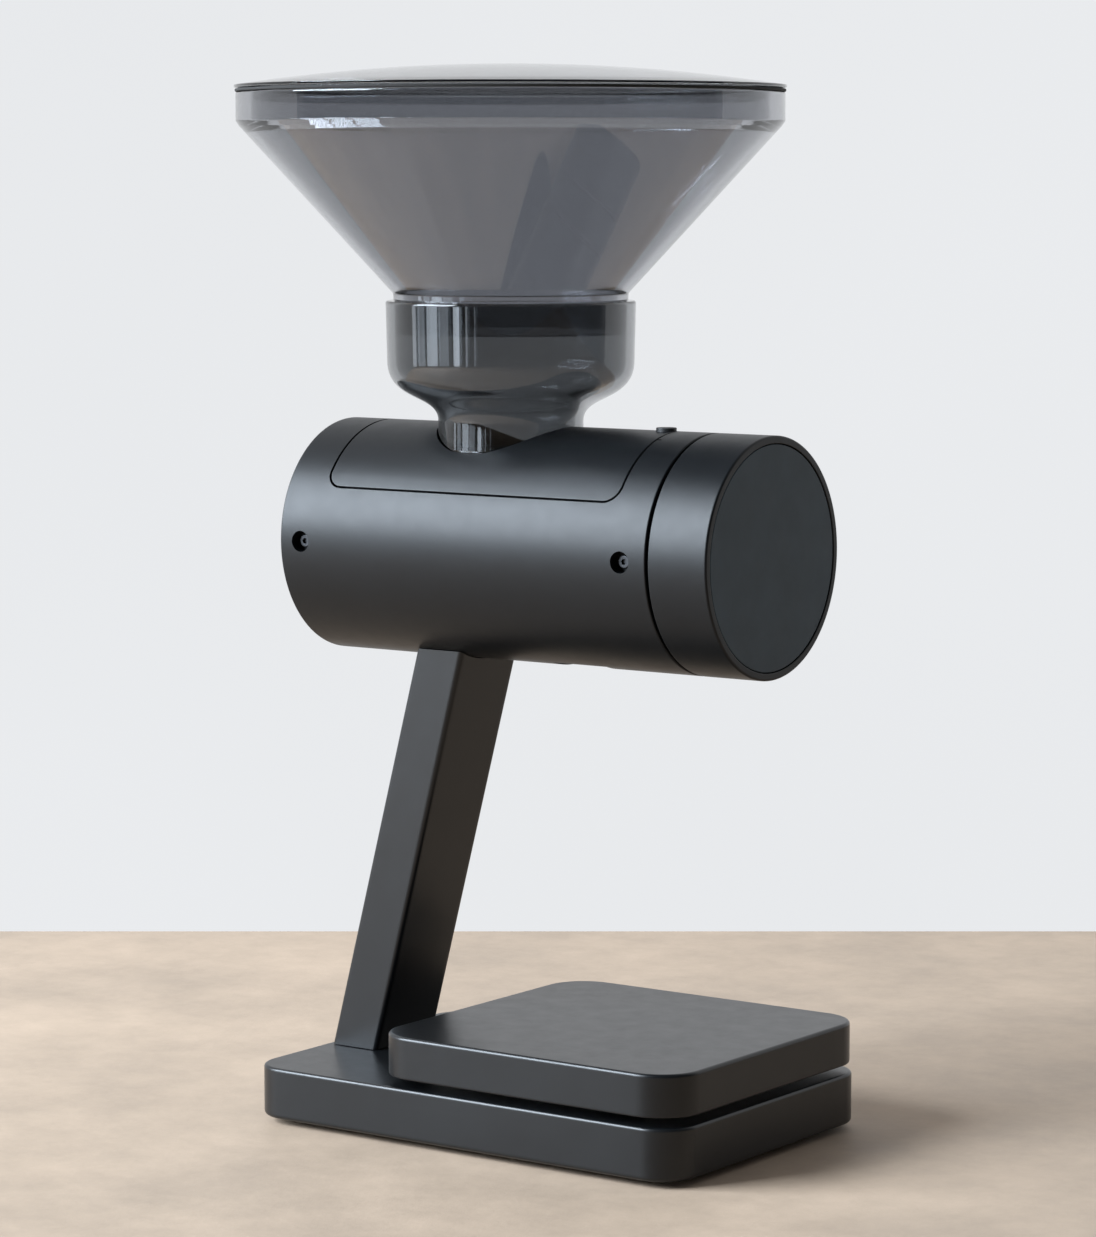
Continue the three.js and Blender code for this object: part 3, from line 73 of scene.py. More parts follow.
def middle(node, axis):
    """Halfway between a node's two box faces on one axis."""
    low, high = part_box(node)
    return (low[axis] + high[axis]) / 2


BASE_LOW, BASE_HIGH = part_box("base_housing")
PLATFORM_LOW, PLATFORM_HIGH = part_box("weighing_platform")
SHELL_LOW, SHELL_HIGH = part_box("body_shell")
COVER_LOW, COVER_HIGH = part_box("top_cover")
DIAL_LOW, DIAL_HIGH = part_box("adjustment_dial")
FACE_LOW, FACE_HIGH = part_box("dial_face")
POST_LOW, POST_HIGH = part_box("post")
COLLAR_LOW, COLLAR_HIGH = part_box("hopper_collar")
CONE_LOW, CONE_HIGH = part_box("hopper_cone")
LID_LOW, LID_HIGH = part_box("lid")
SEAL_LOW, SEAL_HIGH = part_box("lid_seal")
BODY_RADIUS = SHELL_HIGH.y
BODY_AXIS = SHELL_HIGH.z - BODY_RADIUS
BODY_TOP = SHELL_HIGH.z
HOPPER_X = middle("hopper_cone", 0)
SHELL_WALL = 6.2 * MM
BODY_INNER = BODY_RADIUS - SHELL_WALL
CORE_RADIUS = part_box("rear_cap")[1].y


# ---------------------------------------------------------------- sizes and colours


class GrinderFinish(bpy.types.PropertyGroup):
    """The colours of the grinder and of what it stands on."""

    anodised: bpy.props.FloatVectorProperty(
        name="Anodised metal",
        description="Colour of the body, base and post",
        default=(0.0034, 0.0041, 0.005),
        subtype="COLOR",
    )
    dial_face: bpy.props.FloatVectorProperty(
        name="Dial face",
        description="Colour of the dial's inset face and the rear cap",
        default=(0.020, 0.038, 0.054),
        subtype="COLOR",
    )
    smoke: bpy.props.FloatVectorProperty(
        name="Smoke plastic",
        description="Tint that one wall of the hopper gives to light",
        default=(0.385, 0.395, 0.42),
        subtype="COLOR",
    )
    # painted light: the lid's tint is a paler copy of the hopper's smoke tint, so that the lid renders
    # brighter
    painted_light_smoke: bpy.props.FloatVectorProperty(
        name="Lid plastic",
        description="Tint that one wall of the lid gives to light",
        default=(0.62, 0.63, 0.64),
        subtype="COLOR",
    )
    # painted shade: the collar's tint is a darker copy of the hopper's smoke tint, so that the collar renders
    # darker
    painted_shade_smoke: bpy.props.FloatVectorProperty(
        name="Collar plastic",
        description="Tint that one wall of the collar gives to light",
        default=(0.25, 0.26, 0.27),
        subtype="COLOR",
    )
    table: bpy.props.FloatVectorProperty(
        name="Table",
        description="Colour of the pale table top",
        default=(0.45, 0.342, 0.253),
        subtype="COLOR",
    )
    wall: bpy.props.FloatVectorProperty(
        name="Wall",
        description="Colour of the wall behind the table",
        default=(0.815, 0.83, 0.85),
        subtype="COLOR",
    )


class GrinderEdges(bpy.types.PropertyGroup):
    """How far each group of edges is rounded."""

    slab_top: bpy.props.FloatProperty(
        name="Slab top edge",
        description="Rounding of the top edges of the base and the platform",
        default=1.2 * MM,
        unit="LENGTH",
    )
    platform_bottom: bpy.props.FloatProperty(
        name="Platform bottom edge",
        description="Rounding of the platform's lower edge",
        default=0.7 * MM,
        unit="LENGTH",
    )
    slab_bottom: bpy.props.FloatProperty(
        name="Base bottom edge",
        description="Rounding of the base's lower edge",
        default=1.6 * MM,
        unit="LENGTH",
    )
    post_corner: bpy.props.FloatProperty(
        name="Post corner",
        description="Rounding of the post's long edges",
        default=1.7 * MM,
        unit="LENGTH",
    )
    body_edge: bpy.props.FloatProperty(
        name="Body edge",
        description="Rounding of the round edges of the body and the dial",
        default=0.5 * MM,
        unit="LENGTH",
    )
    small_edge: bpy.props.FloatProperty(
        name="Small edge",
        description="Rounding of buttons, screws, seams and the chute",
        default=0.25 * MM,
        unit="LENGTH",
    )


def finish():
    """The colours set in the sidebar."""
    return bpy.context.scene.grinder_finish


def edges():
    """The roundings set in the sidebar."""
    return bpy.context.scene.grinder_edges


# ---------------------------------------------------------------- surfaces


def rounded(corners, radii, closed=True):
    """A run of straight lines whose corners are rounded, each by its own radius or all by one."""
    corners = np.asarray(corners, float)
    count = len(corners)
    radii = np.broadcast_to(radii, count)
    rows = []
    for i, corner in enumerate(corners):
        is_end = not closed and i in (0, count - 1)
        if radii[i] <= 0 or is_end:
            rows.append(corner[None])
        else:
            rows.append(corner_arc(corners[i - 1], corner, corners[(i + 1) % count], radii[i]))
    return np.vstack(rows)


def corner_arc(before, corner, after, radius):
    """The points that stand for one rounded corner.

    The circle that touches both lines does so at its radius over the tangent of half the
    corner's angle. Each point of the arc mixes the two ends, seen from the centre, by the sines
    of the angle left and the angle gone, over the sine of the whole. One more point lies just
    beyond each end.
    """
    back = before - corner
    ahead = after - corner
    back_length = np.linalg.norm(back)
    ahead_length = np.linalg.norm(ahead)
    back = back / back_length
    ahead = ahead / ahead_length
    half = math.acos(float(np.clip(back @ ahead, -1, 1))) / 2
    if half > NEARLY_STRAIGHT:
        return corner[None]
    room = CORNER_ROOM * min(back_length, ahead_length)
    touch = min(radius / math.tan(half), room)
    radius = touch * math.tan(half)
    bisector = (back + ahead) / np.linalg.norm(back + ahead)
    centre = corner + bisector * radius / math.sin(half)
    start = corner + back * touch - centre
    end = corner + ahead * touch - centre
    share = np.linspace(0, 1, CORNER_STEPS + 1)[:, None]
    sweep = math.pi - 2 * half
    arc = (np.sin((1 - share) * sweep) * start + np.sin(share * sweep) * end) / math.sin(sweep)
    extra = min(SUPPORT, SUPPORT_SHARE * room)
    first = (corner + back * (touch + extra))[None]
    last = (corner + ahead * (touch + extra))[None]
    return np.vstack([first, centre + arc, last])


def mesh_object(name, points, loop_rows):
    """A closed grid of points[row, column] as a mesh: quads between neighbouring rows and columns.

    Columns run round and close on themselves, and so do the rows when loop_rows is set. Rows
    that shrink to one point become poles when doubles are merged.
    """
    rows, columns, _ = points.shape
    index = np.arange(rows * columns).reshape(rows, columns)
    turned = np.roll(index, -1, axis=1)
    if loop_rows:
        near = (index, turned)
        far = (np.roll(index, -1, axis=0), np.roll(turned, -1, axis=0))
    else:
        near = (index[:-1], turned[:-1])
        far = (index[1:], turned[1:])
    quads = np.stack([near[0], near[1], far[1], far[0]], axis=-1).reshape(-1, 4)
    mesh = bpy.data.meshes.new(name)
    mesh.from_pydata(points.reshape(-1, 3), [], quads.tolist())
    tidy_mesh(mesh)
    piece = bpy.data.objects.new(name, mesh)
    bpy.context.scene.collection.objects.link(piece)
    return piece


def tidy_mesh(mesh):
    """Merges doubles, points the faces outwards, and shades the mesh."""
    work = bmesh.new()
    work.from_mesh(mesh)
    bmesh.ops.remove_doubles(work, verts=work.verts, dist=WELD)
    bmesh.ops.dissolve_degenerate(work, edges=work.edges, dist=WELD / 2)
    bmesh.ops.recalc_face_normals(work, faces=work.faces)
    work.to_mesh(mesh)
    work.free()
    shade(mesh)


def shade(mesh):
    """Shades smooth, up to the sharp edges."""
    mesh.shade_smooth()
    mesh.set_sharp_from_angle(angle=SHARP_EDGE)


def turns(steps):
    """Equal angles once round a circle."""
    return np.linspace(0, 2 * math.pi, steps, endpoint=False)


def turned_z(name, profile, centre, steps, loop=False):
    """A (radius, height) profile carried round the vertical line through centre.

    x and y are the centre's, plus the radius times the cosine and the sine of the angle.
    """
    angle = turns(steps)
    radius, height = np.asarray(profile, float).T
    points = np.empty((len(radius), steps, 3))
    points[..., 0] = centre[0] + radius[:, None] * np.cos(angle)
    points[..., 1] = centre[1] + radius[:, None] * np.sin(angle)
    points[..., 2] = height[:, None]
    return mesh_object(name, points, loop)


def turned_x(name, profile, steps, loop=False):
    """A (radius, x) profile carried round the body's axis.

    y is the radius times the sine of the angle, and z the axis plus the radius times its cosine.
    """
    angle = turns(steps)
    radius, along = np.asarray(profile, float).T
    points = np.empty((len(radius), steps, 3))
    points[..., 0] = along[:, None]
    points[..., 1] = radius[:, None] * np.sin(angle)
    points[..., 2] = BODY_AXIS + radius[:, None] * np.cos(angle)
    return mesh_object(name, points, loop)


def rectangle(length, width, corner, arc_steps=14, side_steps=14):
    """Points round a rounded rectangle about the origin, and the outward direction at each.

    Each quarter is the circle of the corner's radius about its centre, then the straight run to
    the next corner. The direction is the cosine and sine of the angle, and stays on the run.
    """
    arc = np.linspace(0, math.pi / 2, arc_steps + 1)
    half_sides = (length / 2 - corner, width / 2 - corner)
    signs = [(1, 1), (-1, 1), (-1, -1), (1, -1)]
    places = []
    directions = []
    for quarter in range(4):
        angle = arc + quarter * math.pi / 2
        out = np.stack([np.cos(angle), np.sin(angle)], axis=1)
        centre = np.array(signs[quarter]) * half_sides
        following = np.array(signs[(quarter + 1) % 4]) * half_sides
        share = np.linspace(0, 1, side_steps + 1)[1:-1, None]
        run_start = centre + corner * out[-1]
        run_end = following + corner * out[-1]
        places += [centre + corner * out, run_start + share * (run_end - run_start)]
        directions += [out, np.repeat(out[-1:], side_steps - 1, axis=0)]
    return np.vstack(places), np.vstack(directions)


def at_height(flat, height):
    """Flat (x, y) points, all at one height."""
    return np.column_stack([flat, np.full(len(flat), height)])


def layered(outline, directions, rows):
    """Rows of (inset, height): the outline moved inwards by each inset, at each height."""
    inset, height = np.asarray(rows, float).T
    points = np.empty((len(inset), len(outline), 3))
    points[..., :2] = outline - inset[:, None, None] * directions
    points[..., 2] = height[:, None]
    return points


def shrunk(row, shares, target=None):
    """Copies of one row of points, moved towards a target row or their own middle by each share."""
    goal = row.mean(axis=0) if target is None else target
    shares = np.asarray(shares, float)[:, None, None]
    return row + shares * (goal - row)


def bent(points):
    """Flat (x, run, height) points wrapped on the body.

    The run over the body's radius is the angle from straight up, and height is from the axis.
    """
    wrapped = np.empty_like(points)
    angle = points[..., 1] / BODY_RADIUS
    wrapped[..., 0] = points[..., 0]
    wrapped[..., 1] = points[..., 2] * np.sin(angle)
    wrapped[..., 2] = BODY_AXIS + points[..., 2] * np.cos(angle)
    return wrapped


def centred(points, x):
    """Points moved along x."""
    points[..., 0] += x
    return points


def block(name, low, high):
    """A box between two corners, as a square carried up and closed to a point at each end."""
    square = np.array([[low[0], low[1]], [high[0], low[1]], [high[0], high[1]], [low[0], high[1]]])
    centre = np.repeat(square.mean(axis=0)[None], 4, axis=0)
    layers = [(centre, low[2]), (square, low[2]), (square, high[2]), (centre, high[2])]
    points = np.array([at_height(flat, height) for flat, height in layers])
    return mesh_object(name, points, False)


def block_round(name, node, reach_low, reach_high):
    """A box that stands out from a node's own box by a distance at each face."""
    low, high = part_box(node)
    return block(name, np.array(low) - reach_low, np.array(high) + reach_high)


def cut(piece, cutters):
    """Takes each cutter out of the piece and removes the cutters."""
    for cutter in cutters:
        step = piece.modifiers.new(cutter.name, "BOOLEAN")
        step.operation = "DIFFERENCE"
        step.solver = "EXACT"
        step.object = cutter
    bpy.context.view_layer.update()
    graph = bpy.context.evaluated_depsgraph_get()
    result = bpy.data.meshes.new_from_object(piece.evaluated_get(graph))
    old = piece.data
    piece.modifiers.clear()
    piece.data = result
    result.name = piece.name
    bpy.data.meshes.remove(old)
    for cutter in cutters:
        bpy.data.meshes.remove(cutter.data)
    shade(result)


def place(piece, body, slot, material, *replaced):
    """Gives a finished piece its material, its body, its slot, and the nodes it stands for."""
    piece.data.materials.clear()
    piece.data.materials.append(material)
    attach(piece, body)
    if replaced:
        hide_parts(*replaced)


# ---------------------------------------------------------------- materials


def surface(name, color, roughness, metallic=0.0, **sockets):
    """A new material with one Principled surface, its constant values set on its own sockets."""
    material = bpy.data.materials.new(name)
    material.use_nodes = True
    shader = material.node_tree.nodes["Principled BSDF"]
    shader.inputs["Base Color"].default_value = (*color, 1)
    shader.inputs["Roughness"].default_value = roughness
    shader.inputs["Metallic"].default_value = metallic
    for socket, value in sockets.items():
        shader.inputs[socket.replace("_", " ")].default_value = value
    return material


def add(material, kind, **values):
    """A new node of a kind in a material, with its input values set by name."""
    made = material.node_tree.nodes.new(kind)
    for socket, value in values.items():
        made.inputs[socket.replace("_", " ")].default_value = value
    return made


def join(material, out_node, out_socket, in_node, in_socket):
    """Links one node's output to another's input."""
    material.node_tree.links.new(out_node.outputs[out_socket], in_node.inputs[in_socket])


def mapped(material, texture, **placing):
    """Puts a texture on Object coordinates, scaled or moved as the Mapping node's inputs say."""
    coordinates = add(material, "ShaderNodeTexCoord")
    mapping = add(material, "ShaderNodeMapping", **placing)
    join(material, coordinates, "Object", mapping, "Vector")
    join(material, mapping, "Vector", texture, "Vector")
    return texture


def noise(material, scale, detail=2.0, roughness=0.5, stretch=(1, 1, 1)):
    """Noise on Object coordinates, with its size set along each axis."""
    texture = add(material, "ShaderNodeTexNoise", Scale=scale, Detail=detail, Roughness=roughness)
    return mapped(material, texture, Scale=stretch)


def shader_of(material):
    """The material's Principled surface."""
    return material.node_tree.nodes["Principled BSDF"]


def varied_roughness(material, texture, low, high):
    """Roughness that follows a texture between two values."""
    spread = add(material, "ShaderNodeMapRange", From_Min=0.3, From_Max=0.7, To_Min=low, To_Max=high)
    join(material, texture, "Fac", spread, "Value")
    join(material, spread, "Result", shader_of(material), "Roughness")


def ramp_between(material, texture, dark, light):
    """A ramp that follows a texture between two colours."""
    ramp = add(material, "ShaderNodeValToRGB")
    for end, position, color in zip(ramp.color_ramp.elements, (0.35, 0.65), (dark, light)):
        end.position = position
        end.color = (*color, 1)
    join(material, texture, "Fac", ramp, "Fac")
    return ramp


def varied_color(material, texture, dark, light):
    """Colour that follows a texture between two colours."""
    ramp = ramp_between(material, texture, dark, light)
    join(material, ramp, "Color", shader_of(material), "Base Color")


def relief(material, texture, distance, strength, socket="Fac"):
    """Fine relief from a texture."""
    bump = add(material, "ShaderNodeBump", Distance=distance, Strength=strength)
    join(material, texture, socket, bump, "Height")
    join(material, bump, "Normal", shader_of(material), "Normal")


def scaled(color, factor):
    """A colour made darker or lighter by a factor."""
    return tuple(channel * factor for channel in color)


def anodised_metal(name, color, roughness, shine):
    """Blasted and anodised metal: a fine even grain, with faint clouds in its sheen and colour."""
    material = surface(name, color, roughness, Specular_IOR_Level=shine)
    clouds = noise(material, 45, detail=4, roughness=0.6)
    sheen = noise(material, 120, detail=5, roughness=0.65)
    varied_color(material, clouds, scaled(color, 0.9), scaled(color, 1.12))
    varied_roughness(material, sheen, roughness - 0.02, roughness + 0.03)
    relief(material, noise(material, 5200), 0.00001, 0.35)
    return material


def smoke_plastic(name, tint):
    """Clear smoke-grey plastic: polished, with a faint haze of handling in its gloss."""
    material = surface(name, tint, 0.03, Transmission_Weight=1.0, IOR=1.49)
    varied_roughness(material, noise(material, 38, detail=5, roughness=0.6), 0.012, 0.05)
    return material


def rubber(name):
    """Black moulded rubber with a dusty, uneven matt surface."""
    material = surface(name, (0.014, 0.014, 0.014), 0.8, Specular_IOR_Level=0.35)
    clouds = noise(material, 160, detail=5)
    varied_color(material, clouds, (0.01, 0.01, 0.01), (0.022, 0.021, 0.02))
    varied_roughness(material, clouds, 0.7, 0.92)
    relief(material, noise(material, 2600, detail=3), 0.00004, 0.5)
    return material


def moulded_plastic(name, color):
    """Black plastic from a spark-eroded mould: a pebbled grain with softer and glossier spots."""
    material = surface(name, color, 0.45, Specular_IOR_Level=0.45)
    pebbles = mapped(material, add(material, "ShaderNodeTexVoronoi", Scale=2600.0))
    relief(material, pebbles, 0.00003, 0.4, "Distance")
    varied_roughness(material, noise(material, 300, detail=4), 0.38, 0.55)
    varied_color(material, noise(material, 90, detail=3), scaled(color, 0.85), scaled(color, 1.2))
    return material


def ground_steel(name, color, roughness):
    """Ground steel: long fine scratches from the wheel across a metal surface."""
    material = surface(name, color, roughness, metallic=1.0)
    scratches = noise(material, 700, detail=5, roughness=0.7, stretch=(1, 14, 14))
    varied_color(material, scratches, scaled(color, 0.82), scaled(color, 1.1))
    varied_roughness(material, scratches, roughness - 0.08, roughness + 0.12)
    relief(material, scratches, 0.00002, 0.4)
    return material


def cast_alloy(name, color):
    """Cast aluminium: a grainy skin with soft pits and cloudy tone."""
    material = surface(name, color, 0.45, metallic=0.9)
    clouds = noise(material, 140, detail=6, roughness=0.65)
    varied_color(material, clouds, scaled(color, 0.75), scaled(color, 1.1))
    varied_roughness(material, noise(material, 260, detail=4), 0.36, 0.6)
    relief(material, noise(material, 1500, detail=5, roughness=0.7), 0.00006, 0.5)
    return material


def circuit_board(name):
    """Green solder mask over paler copper tracks that run in square blocks."""
    material = surface(name, (0.02, 0.12, 0.05), 0.35, Coat_Weight=0.4, Coat_Roughness=0.15)
    blocks = add(material, "ShaderNodeTexBrick", Scale=260.0, Color1=(0.016, 0.09, 0.04, 1),
                 Color2=(0.024, 0.13, 0.06, 1), Mortar=(0.05, 0.2, 0.09, 1))
    mapped(material, blocks)
    join(material, blocks, "Color", shader_of(material), "Base Color")
    relief(material, blocks, 0.00003, 0.5)
    varied_roughness(material, noise(material, 400), 0.28, 0.42)
    return material


def wound_copper(name):
    """Enamelled copper wire laid side by side round the axis."""
    material = surface(name, (0.55, 0.2, 0.07), 0.3, metallic=0.85, Coat_Weight=0.5)
    wires = add(material, "ShaderNodeTexWave", Scale=420.0, Distortion=1.5, Detail=1.0)
    wires.wave_type = "RINGS"
    wires.rings_direction = "X"
    mapped(material, wires, Location=(0, 0, -BODY_AXIS))
    relief(material, wires, 0.0003, 0.7)
    varied_color(material, wires, (0.3, 0.09, 0.03), (0.62, 0.25, 0.09))
    return material


def laminated_steel(name):
    """A stack of thin steel sheets, seen as fine bands along the axis."""
    material = surface(name, (0.32, 0.33, 0.35), 0.38, metallic=1.0)
    sheets = mapped(material, add(material, "ShaderNodeTexWave", Scale=320.0, Distortion=0.3))
    sheets.bands_direction = "X"
    relief(material, sheets, 0.00012, 0.6)
    varied_color(material, sheets, (0.18, 0.18, 0.2), (0.4, 0.41, 0.43))
    return material


def table_stone(name, color):
    """Pale troweled plaster: cloudy tone, faint sweeping veins and a fine tooth."""
    material = surface(name, color, 0.6, Specular_IOR_Level=0.3)
    clouds = noise(material, 9, detail=14, roughness=0.74)
    varied_color(material, clouds, scaled(color, 0.8), scaled(color, 1.12))
    varied_roughness(material, noise(material, 9, detail=6), 0.5, 0.72)
    relief(material, noise(material, 60, detail=12, roughness=0.7), 0.0008, 0.35)
    return material


def one_sided_wall(name, color):
    """A painted wall that only gives its own even light, and isn't there when seen from behind."""
    material = surface(name, (0, 0, 0), 0.9, Specular_IOR_Level=0.0, Emission_Strength=1.0)
    paint = ramp_between(material, noise(material, 1.1, detail=5), scaled(color, 0.985), scaled(color, 1.015))
    join(material, paint, "Color", shader_of(material), "Emission Color")
    clear = add(material, "ShaderNodeBsdfTransparent")
    side = add(material, "ShaderNodeNewGeometry")
    mix = add(material, "ShaderNodeMixShader")
    join(material, side, "Backfacing", mix, "Fac")
    join(material, shader_of(material), "BSDF", mix, 1)
    join(material, clear, "BSDF", mix, 2)
    join(material, mix, "Shader", material.node_tree.nodes["Material Output"], "Surface")
    return material


MATERIALS = {}


def finish_of(slot):
    """The finish for a slot of the record, made the first time it is asked for."""
    if slot not in MATERIALS:
        makers = {
            "dark_anodised": lambda: anodised_metal("dark_anodised_metal", finish().anodised, 0.4, 0.27),
            "satin_anodised": lambda: anodised_metal("satin_anodised_metal", finish().anodised, 0.31, 0.42),
            "dial_face": lambda: anodised_metal("dial_face_metal", finish().dial_face, 0.5, 0.35),
            "smoke_plastic": lambda: smoke_plastic("smoke_plastic", finish().smoke),
            # the collar's darker copy of the smoke tint is painted shade
            "painted_shade_smoke": lambda: smoke_plastic("dark_smoke_plastic", finish().painted_shade_smoke),
            # the lid's paler copy of the smoke tint is painted light
            "painted_light_smoke": lambda: smoke_plastic("pale_smoke_plastic", finish().painted_light_smoke),
            "rubber": lambda: rubber("black_rubber"),
            "black_plastic": lambda: moulded_plastic("black_moulded_plastic", (0.012, 0.012, 0.013)),
            "dark_steel": lambda: ground_steel("black_oxide_steel", (0.05, 0.052, 0.056), 0.34),
            "steel": lambda: ground_steel("ground_steel", (0.5, 0.51, 0.53), 0.3),
            "cast_alloy": lambda: cast_alloy("cast_alloy", (0.5, 0.51, 0.53)),
            "circuit_board": lambda: circuit_board("circuit_board"),
            "copper": lambda: wound_copper("wound_copper"),
            "laminations": lambda: laminated_steel("stator_laminations"),
        }
        MATERIALS[slot] = makers[slot]()
    return MATERIALS[slot]


# ---------------------------------------------------------------- base, platform and post

BASE_CORNER = 14 * MM
BASE_WALL = 3.5 * MM
PLATFORM_CORNER = 16 * MM
STEM_HOLE = 10 * MM
SLAB_FLAT = 0.8  # share of a slab's corner radius where its flat top begins


def slab_rows(low, high, corner, bottom_edge):
    """A rounded rectangle carried over its top edge, down its side and up inside to the roof."""
    outline, out = rectangle(high.x - low.x, high.y - low.y, corner)
    flat = corner * SLAB_FLAT
    roof = high.z - BASE_WALL
    shape = rounded(
        [(flat, high.z), (0, high.z), (0, low.z), (BASE_WALL, low.z), (BASE_WALL, roof), (flat, roof)],
        [0, edges().slab_top, bottom_edge, edges().small_edge, 0, 0], closed=False)
    return outline, layered(outline, out, shape)


def make_base():
    """The base: a hollow slab with a round hole for the platform's stem, and the inlet's notch."""
    outline, rows = slab_rows(BASE_LOW, BASE_HIGH, BASE_CORNER, edges().slab_bottom)
    hole_x = middle("weighing_platform", 0) - middle("base_housing", 0)
    angle = np.arctan2(outline[:, 1], outline[:, 0] - hole_x)
    ring = np.stack([hole_x + STEM_HOLE * np.cos(angle), STEM_HOLE * np.sin(angle)], axis=1)
    over = shrunk(rows[0], [1, 0.66, 0.33], at_height(ring, BASE_HIGH.z))
    under = shrunk(rows[-1], [0.33, 0.66, 1], at_height(ring, BASE_HIGH.z - BASE_WALL))
    points = centred(np.concatenate([over, rows, under]), middle("base_housing", 0))
    base = mesh_object("base_body", points, True)
    into_base = (4 * CLEARANCE, CLEARANCE, CLEARANCE)
    cut(base, [block_round("inlet_space", "power_inlet", into_base, CLEARANCE)])
    place(base, "stand", "dark_anodised", finish_of("satin_anodised"), "base_housing")


def make_platform():
    """The weighing platform: a hollow slab closed on top, with its underside open."""
    _, rows = slab_rows(PLATFORM_LOW, PLATFORM_HIGH, PLATFORM_CORNER, edges().platform_bottom)
    over = shrunk(rows[0], [1, 0.7, 0.35])
    under = shrunk(rows[-1], [0.35, 0.7, 1])
    points = centred(np.concatenate([over, rows, under]), middle("weighing_platform", 0))
    platform = mesh_object("platform_slab", points, False)
    place(platform, "platform", "dark_anodised", finish_of("satin_anodised"), "weighing_platform")


POST_LENGTH = 20.6 * MM
POST_LEAN = 0.266  # how far it leans along x for each step up
POST_CHANNEL = (9 * MM, 12 * MM)
FOOT_STEM = 3 * MM
FOOT_RIM_EDGE = 0.8 * MM
FOOT_TOP_EDGE = 0.4 * MM
STEM_EDGE = 0.3 * MM


def leaning_tube(outline, foot_x, foot, lean, body_radius, rise_steps):
    """An outline carried up a lean until it meets the round body above it.

    A point's top is the axis height less the root of the body's radius squared less its own y
    squared, so the tube ends in a saddle. x grows by the lean times the height gone.
    """
    top = BODY_AXIS - np.sqrt(body_radius**2 - outline[:, 1] ** 2)
    share = np.linspace(0, 1, rise_steps)[:, None]
    height = foot + share * (top - foot)
    points = np.empty((rise_steps, len(outline), 3))
    points[..., 0] = foot_x + outline[:, 0] + lean * (height - foot)
    points[..., 1] = outline[:, 1]
    points[..., 2] = height
    return points


def make_post():
    """The leaning post: a rounded bar with a wire channel, ended by the body's own curve."""
    width = POST_HIGH.y - POST_LOW.y
    foot_x = POST_LOW.x + POST_LENGTH / 2
    tubes = []
    for sides in ((POST_LENGTH, width), POST_CHANNEL):
        outline, _ = rectangle(*sides, edges().post_corner, arc_steps=8, side_steps=26)
        tubes.append(leaning_tube(outline, foot_x, POST_LOW.z, POST_LEAN, BODY_RADIUS + CLEARANCE, 24))
    post = mesh_object("post_bar", np.concatenate([tubes[0], tubes[1][::-1]]), True)
    place(post, "stand", "dark_anodised", finish_of("satin_anodised"), "post")


def make_feet():
    """Four rubber feet: a disc with a rounded rim and a stem that grips the plate."""
    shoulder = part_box("base_bottom_plate")[0].z - CLEARANCE
    for number in range(1, 5):
        node = f"foot_{number}"
        low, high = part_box(node)
        radius = (high.x - low.x) / 2
        profile = rounded(
            [(0, low.z), (radius, low.z), (radius, shoulder), (FOOT_STEM, shoulder), (FOOT_STEM, high.z),
             (0, high.z)],
            [0, FOOT_RIM_EDGE, FOOT_TOP_EDGE, 0, STEM_EDGE, 0], closed=False)
        centre = (middle(node, 0), middle(node, 1))
        foot = turned_z(f"rubber_foot_{number}", profile, centre, SMALL_STEPS)
        place(foot, "stand", "rubber", finish_of("rubber"), node)


# ---------------------------------------------------------------- body

COVER_THICKNESS = 3 * MM
COVER_CORNER = 6 * MM
COVER_SEAM = 0.8 * MM
COVER_LEDGE = 3 * MM
COVER_FLAT = 0.7  # share of the cover's corner radius where its even surface begins
COVER_SIDE_STEPS = 40
COVER_HALF_RUN = BODY_RADIUS * math.asin(min(1, COVER_HIGH.y / BODY_RADIUS))
NECK_HOLE = 26.9 * MM
WELL_RADIUS = 3.85 * MM
WELL_DEPTH = 4.6 * MM
SCREW_HOLE = 1.7 * MM
TUBE_ROWS = 70  # rows of points along the body's tube


def bent_slab(name, grow, low, high, corner):
    """The cover's outline, grown by a distance, as a solid wrapped on the body between two radii."""
    length = COVER_HIGH.x - COVER_LOW.x + 2 * grow
    width = 2 * COVER_HALF_RUN + 2 * grow
    outline, out = rectangle(length, width, corner, side_steps=COVER_SIDE_STEPS)
    rows = layered(outline, out, [(0, high), (0, low)])
    spread = np.linspace(1, 0, 9)[:-1]
    points = np.concatenate([shrunk(rows[0], spread), rows, shrunk(rows[-1], spread[::-1])])
    return mesh_object(name, bent(centred(points, middle("top_cover", 0))), False)


def screw_places():
    """(x, side, node) of each frame screw."""
    for number in range(1, 5):
        node = f"frame_screw_{number}"
        side = 1 if middle(node, 1) > 0 else -1
        yield middle(node, 0), side, node


def side_rod(name, radius, x, side, start, end):
    """A level rod out through the body's wall, for cutting: a circle about x and the axis height."""
    angle = turns(HOLE_STEPS)
    profile = np.array([(0, start), (radius, start), (radius, end), (0, end)])
    points = np.empty((len(profile), HOLE_STEPS, 3))
    points[..., 0] = x + profile[:, :1] * np.cos(angle)
    points[..., 1] = side * profile[:, 1:]
    points[..., 2] = BODY_AXIS + profile[:, :1] * np.sin(angle)
    return mesh_object(name, points, False)


def body_tube():
    """The body's tube before cutting: its wall's outline carried round the axis."""
    edge = edges().body_edge
    along = np.linspace(SHELL_LOW.x + 3 * edge, SHELL_HIGH.x - 3 * edge, TUBE_ROWS)
    outside = [(BODY_RADIUS, x) for x in along]
    profile = rounded(
        [(BODY_RADIUS, SHELL_LOW.x), *outside, (BODY_RADIUS, SHELL_HIGH.x), (BODY_INNER, SHELL_HIGH.x),
         (BODY_INNER, SHELL_LOW.x)],
        [edge, *[0] * TUBE_ROWS, edge, edge / 2, edge / 2])
    return turned_x("body_tube", profile, FINE_STEPS, loop=True)


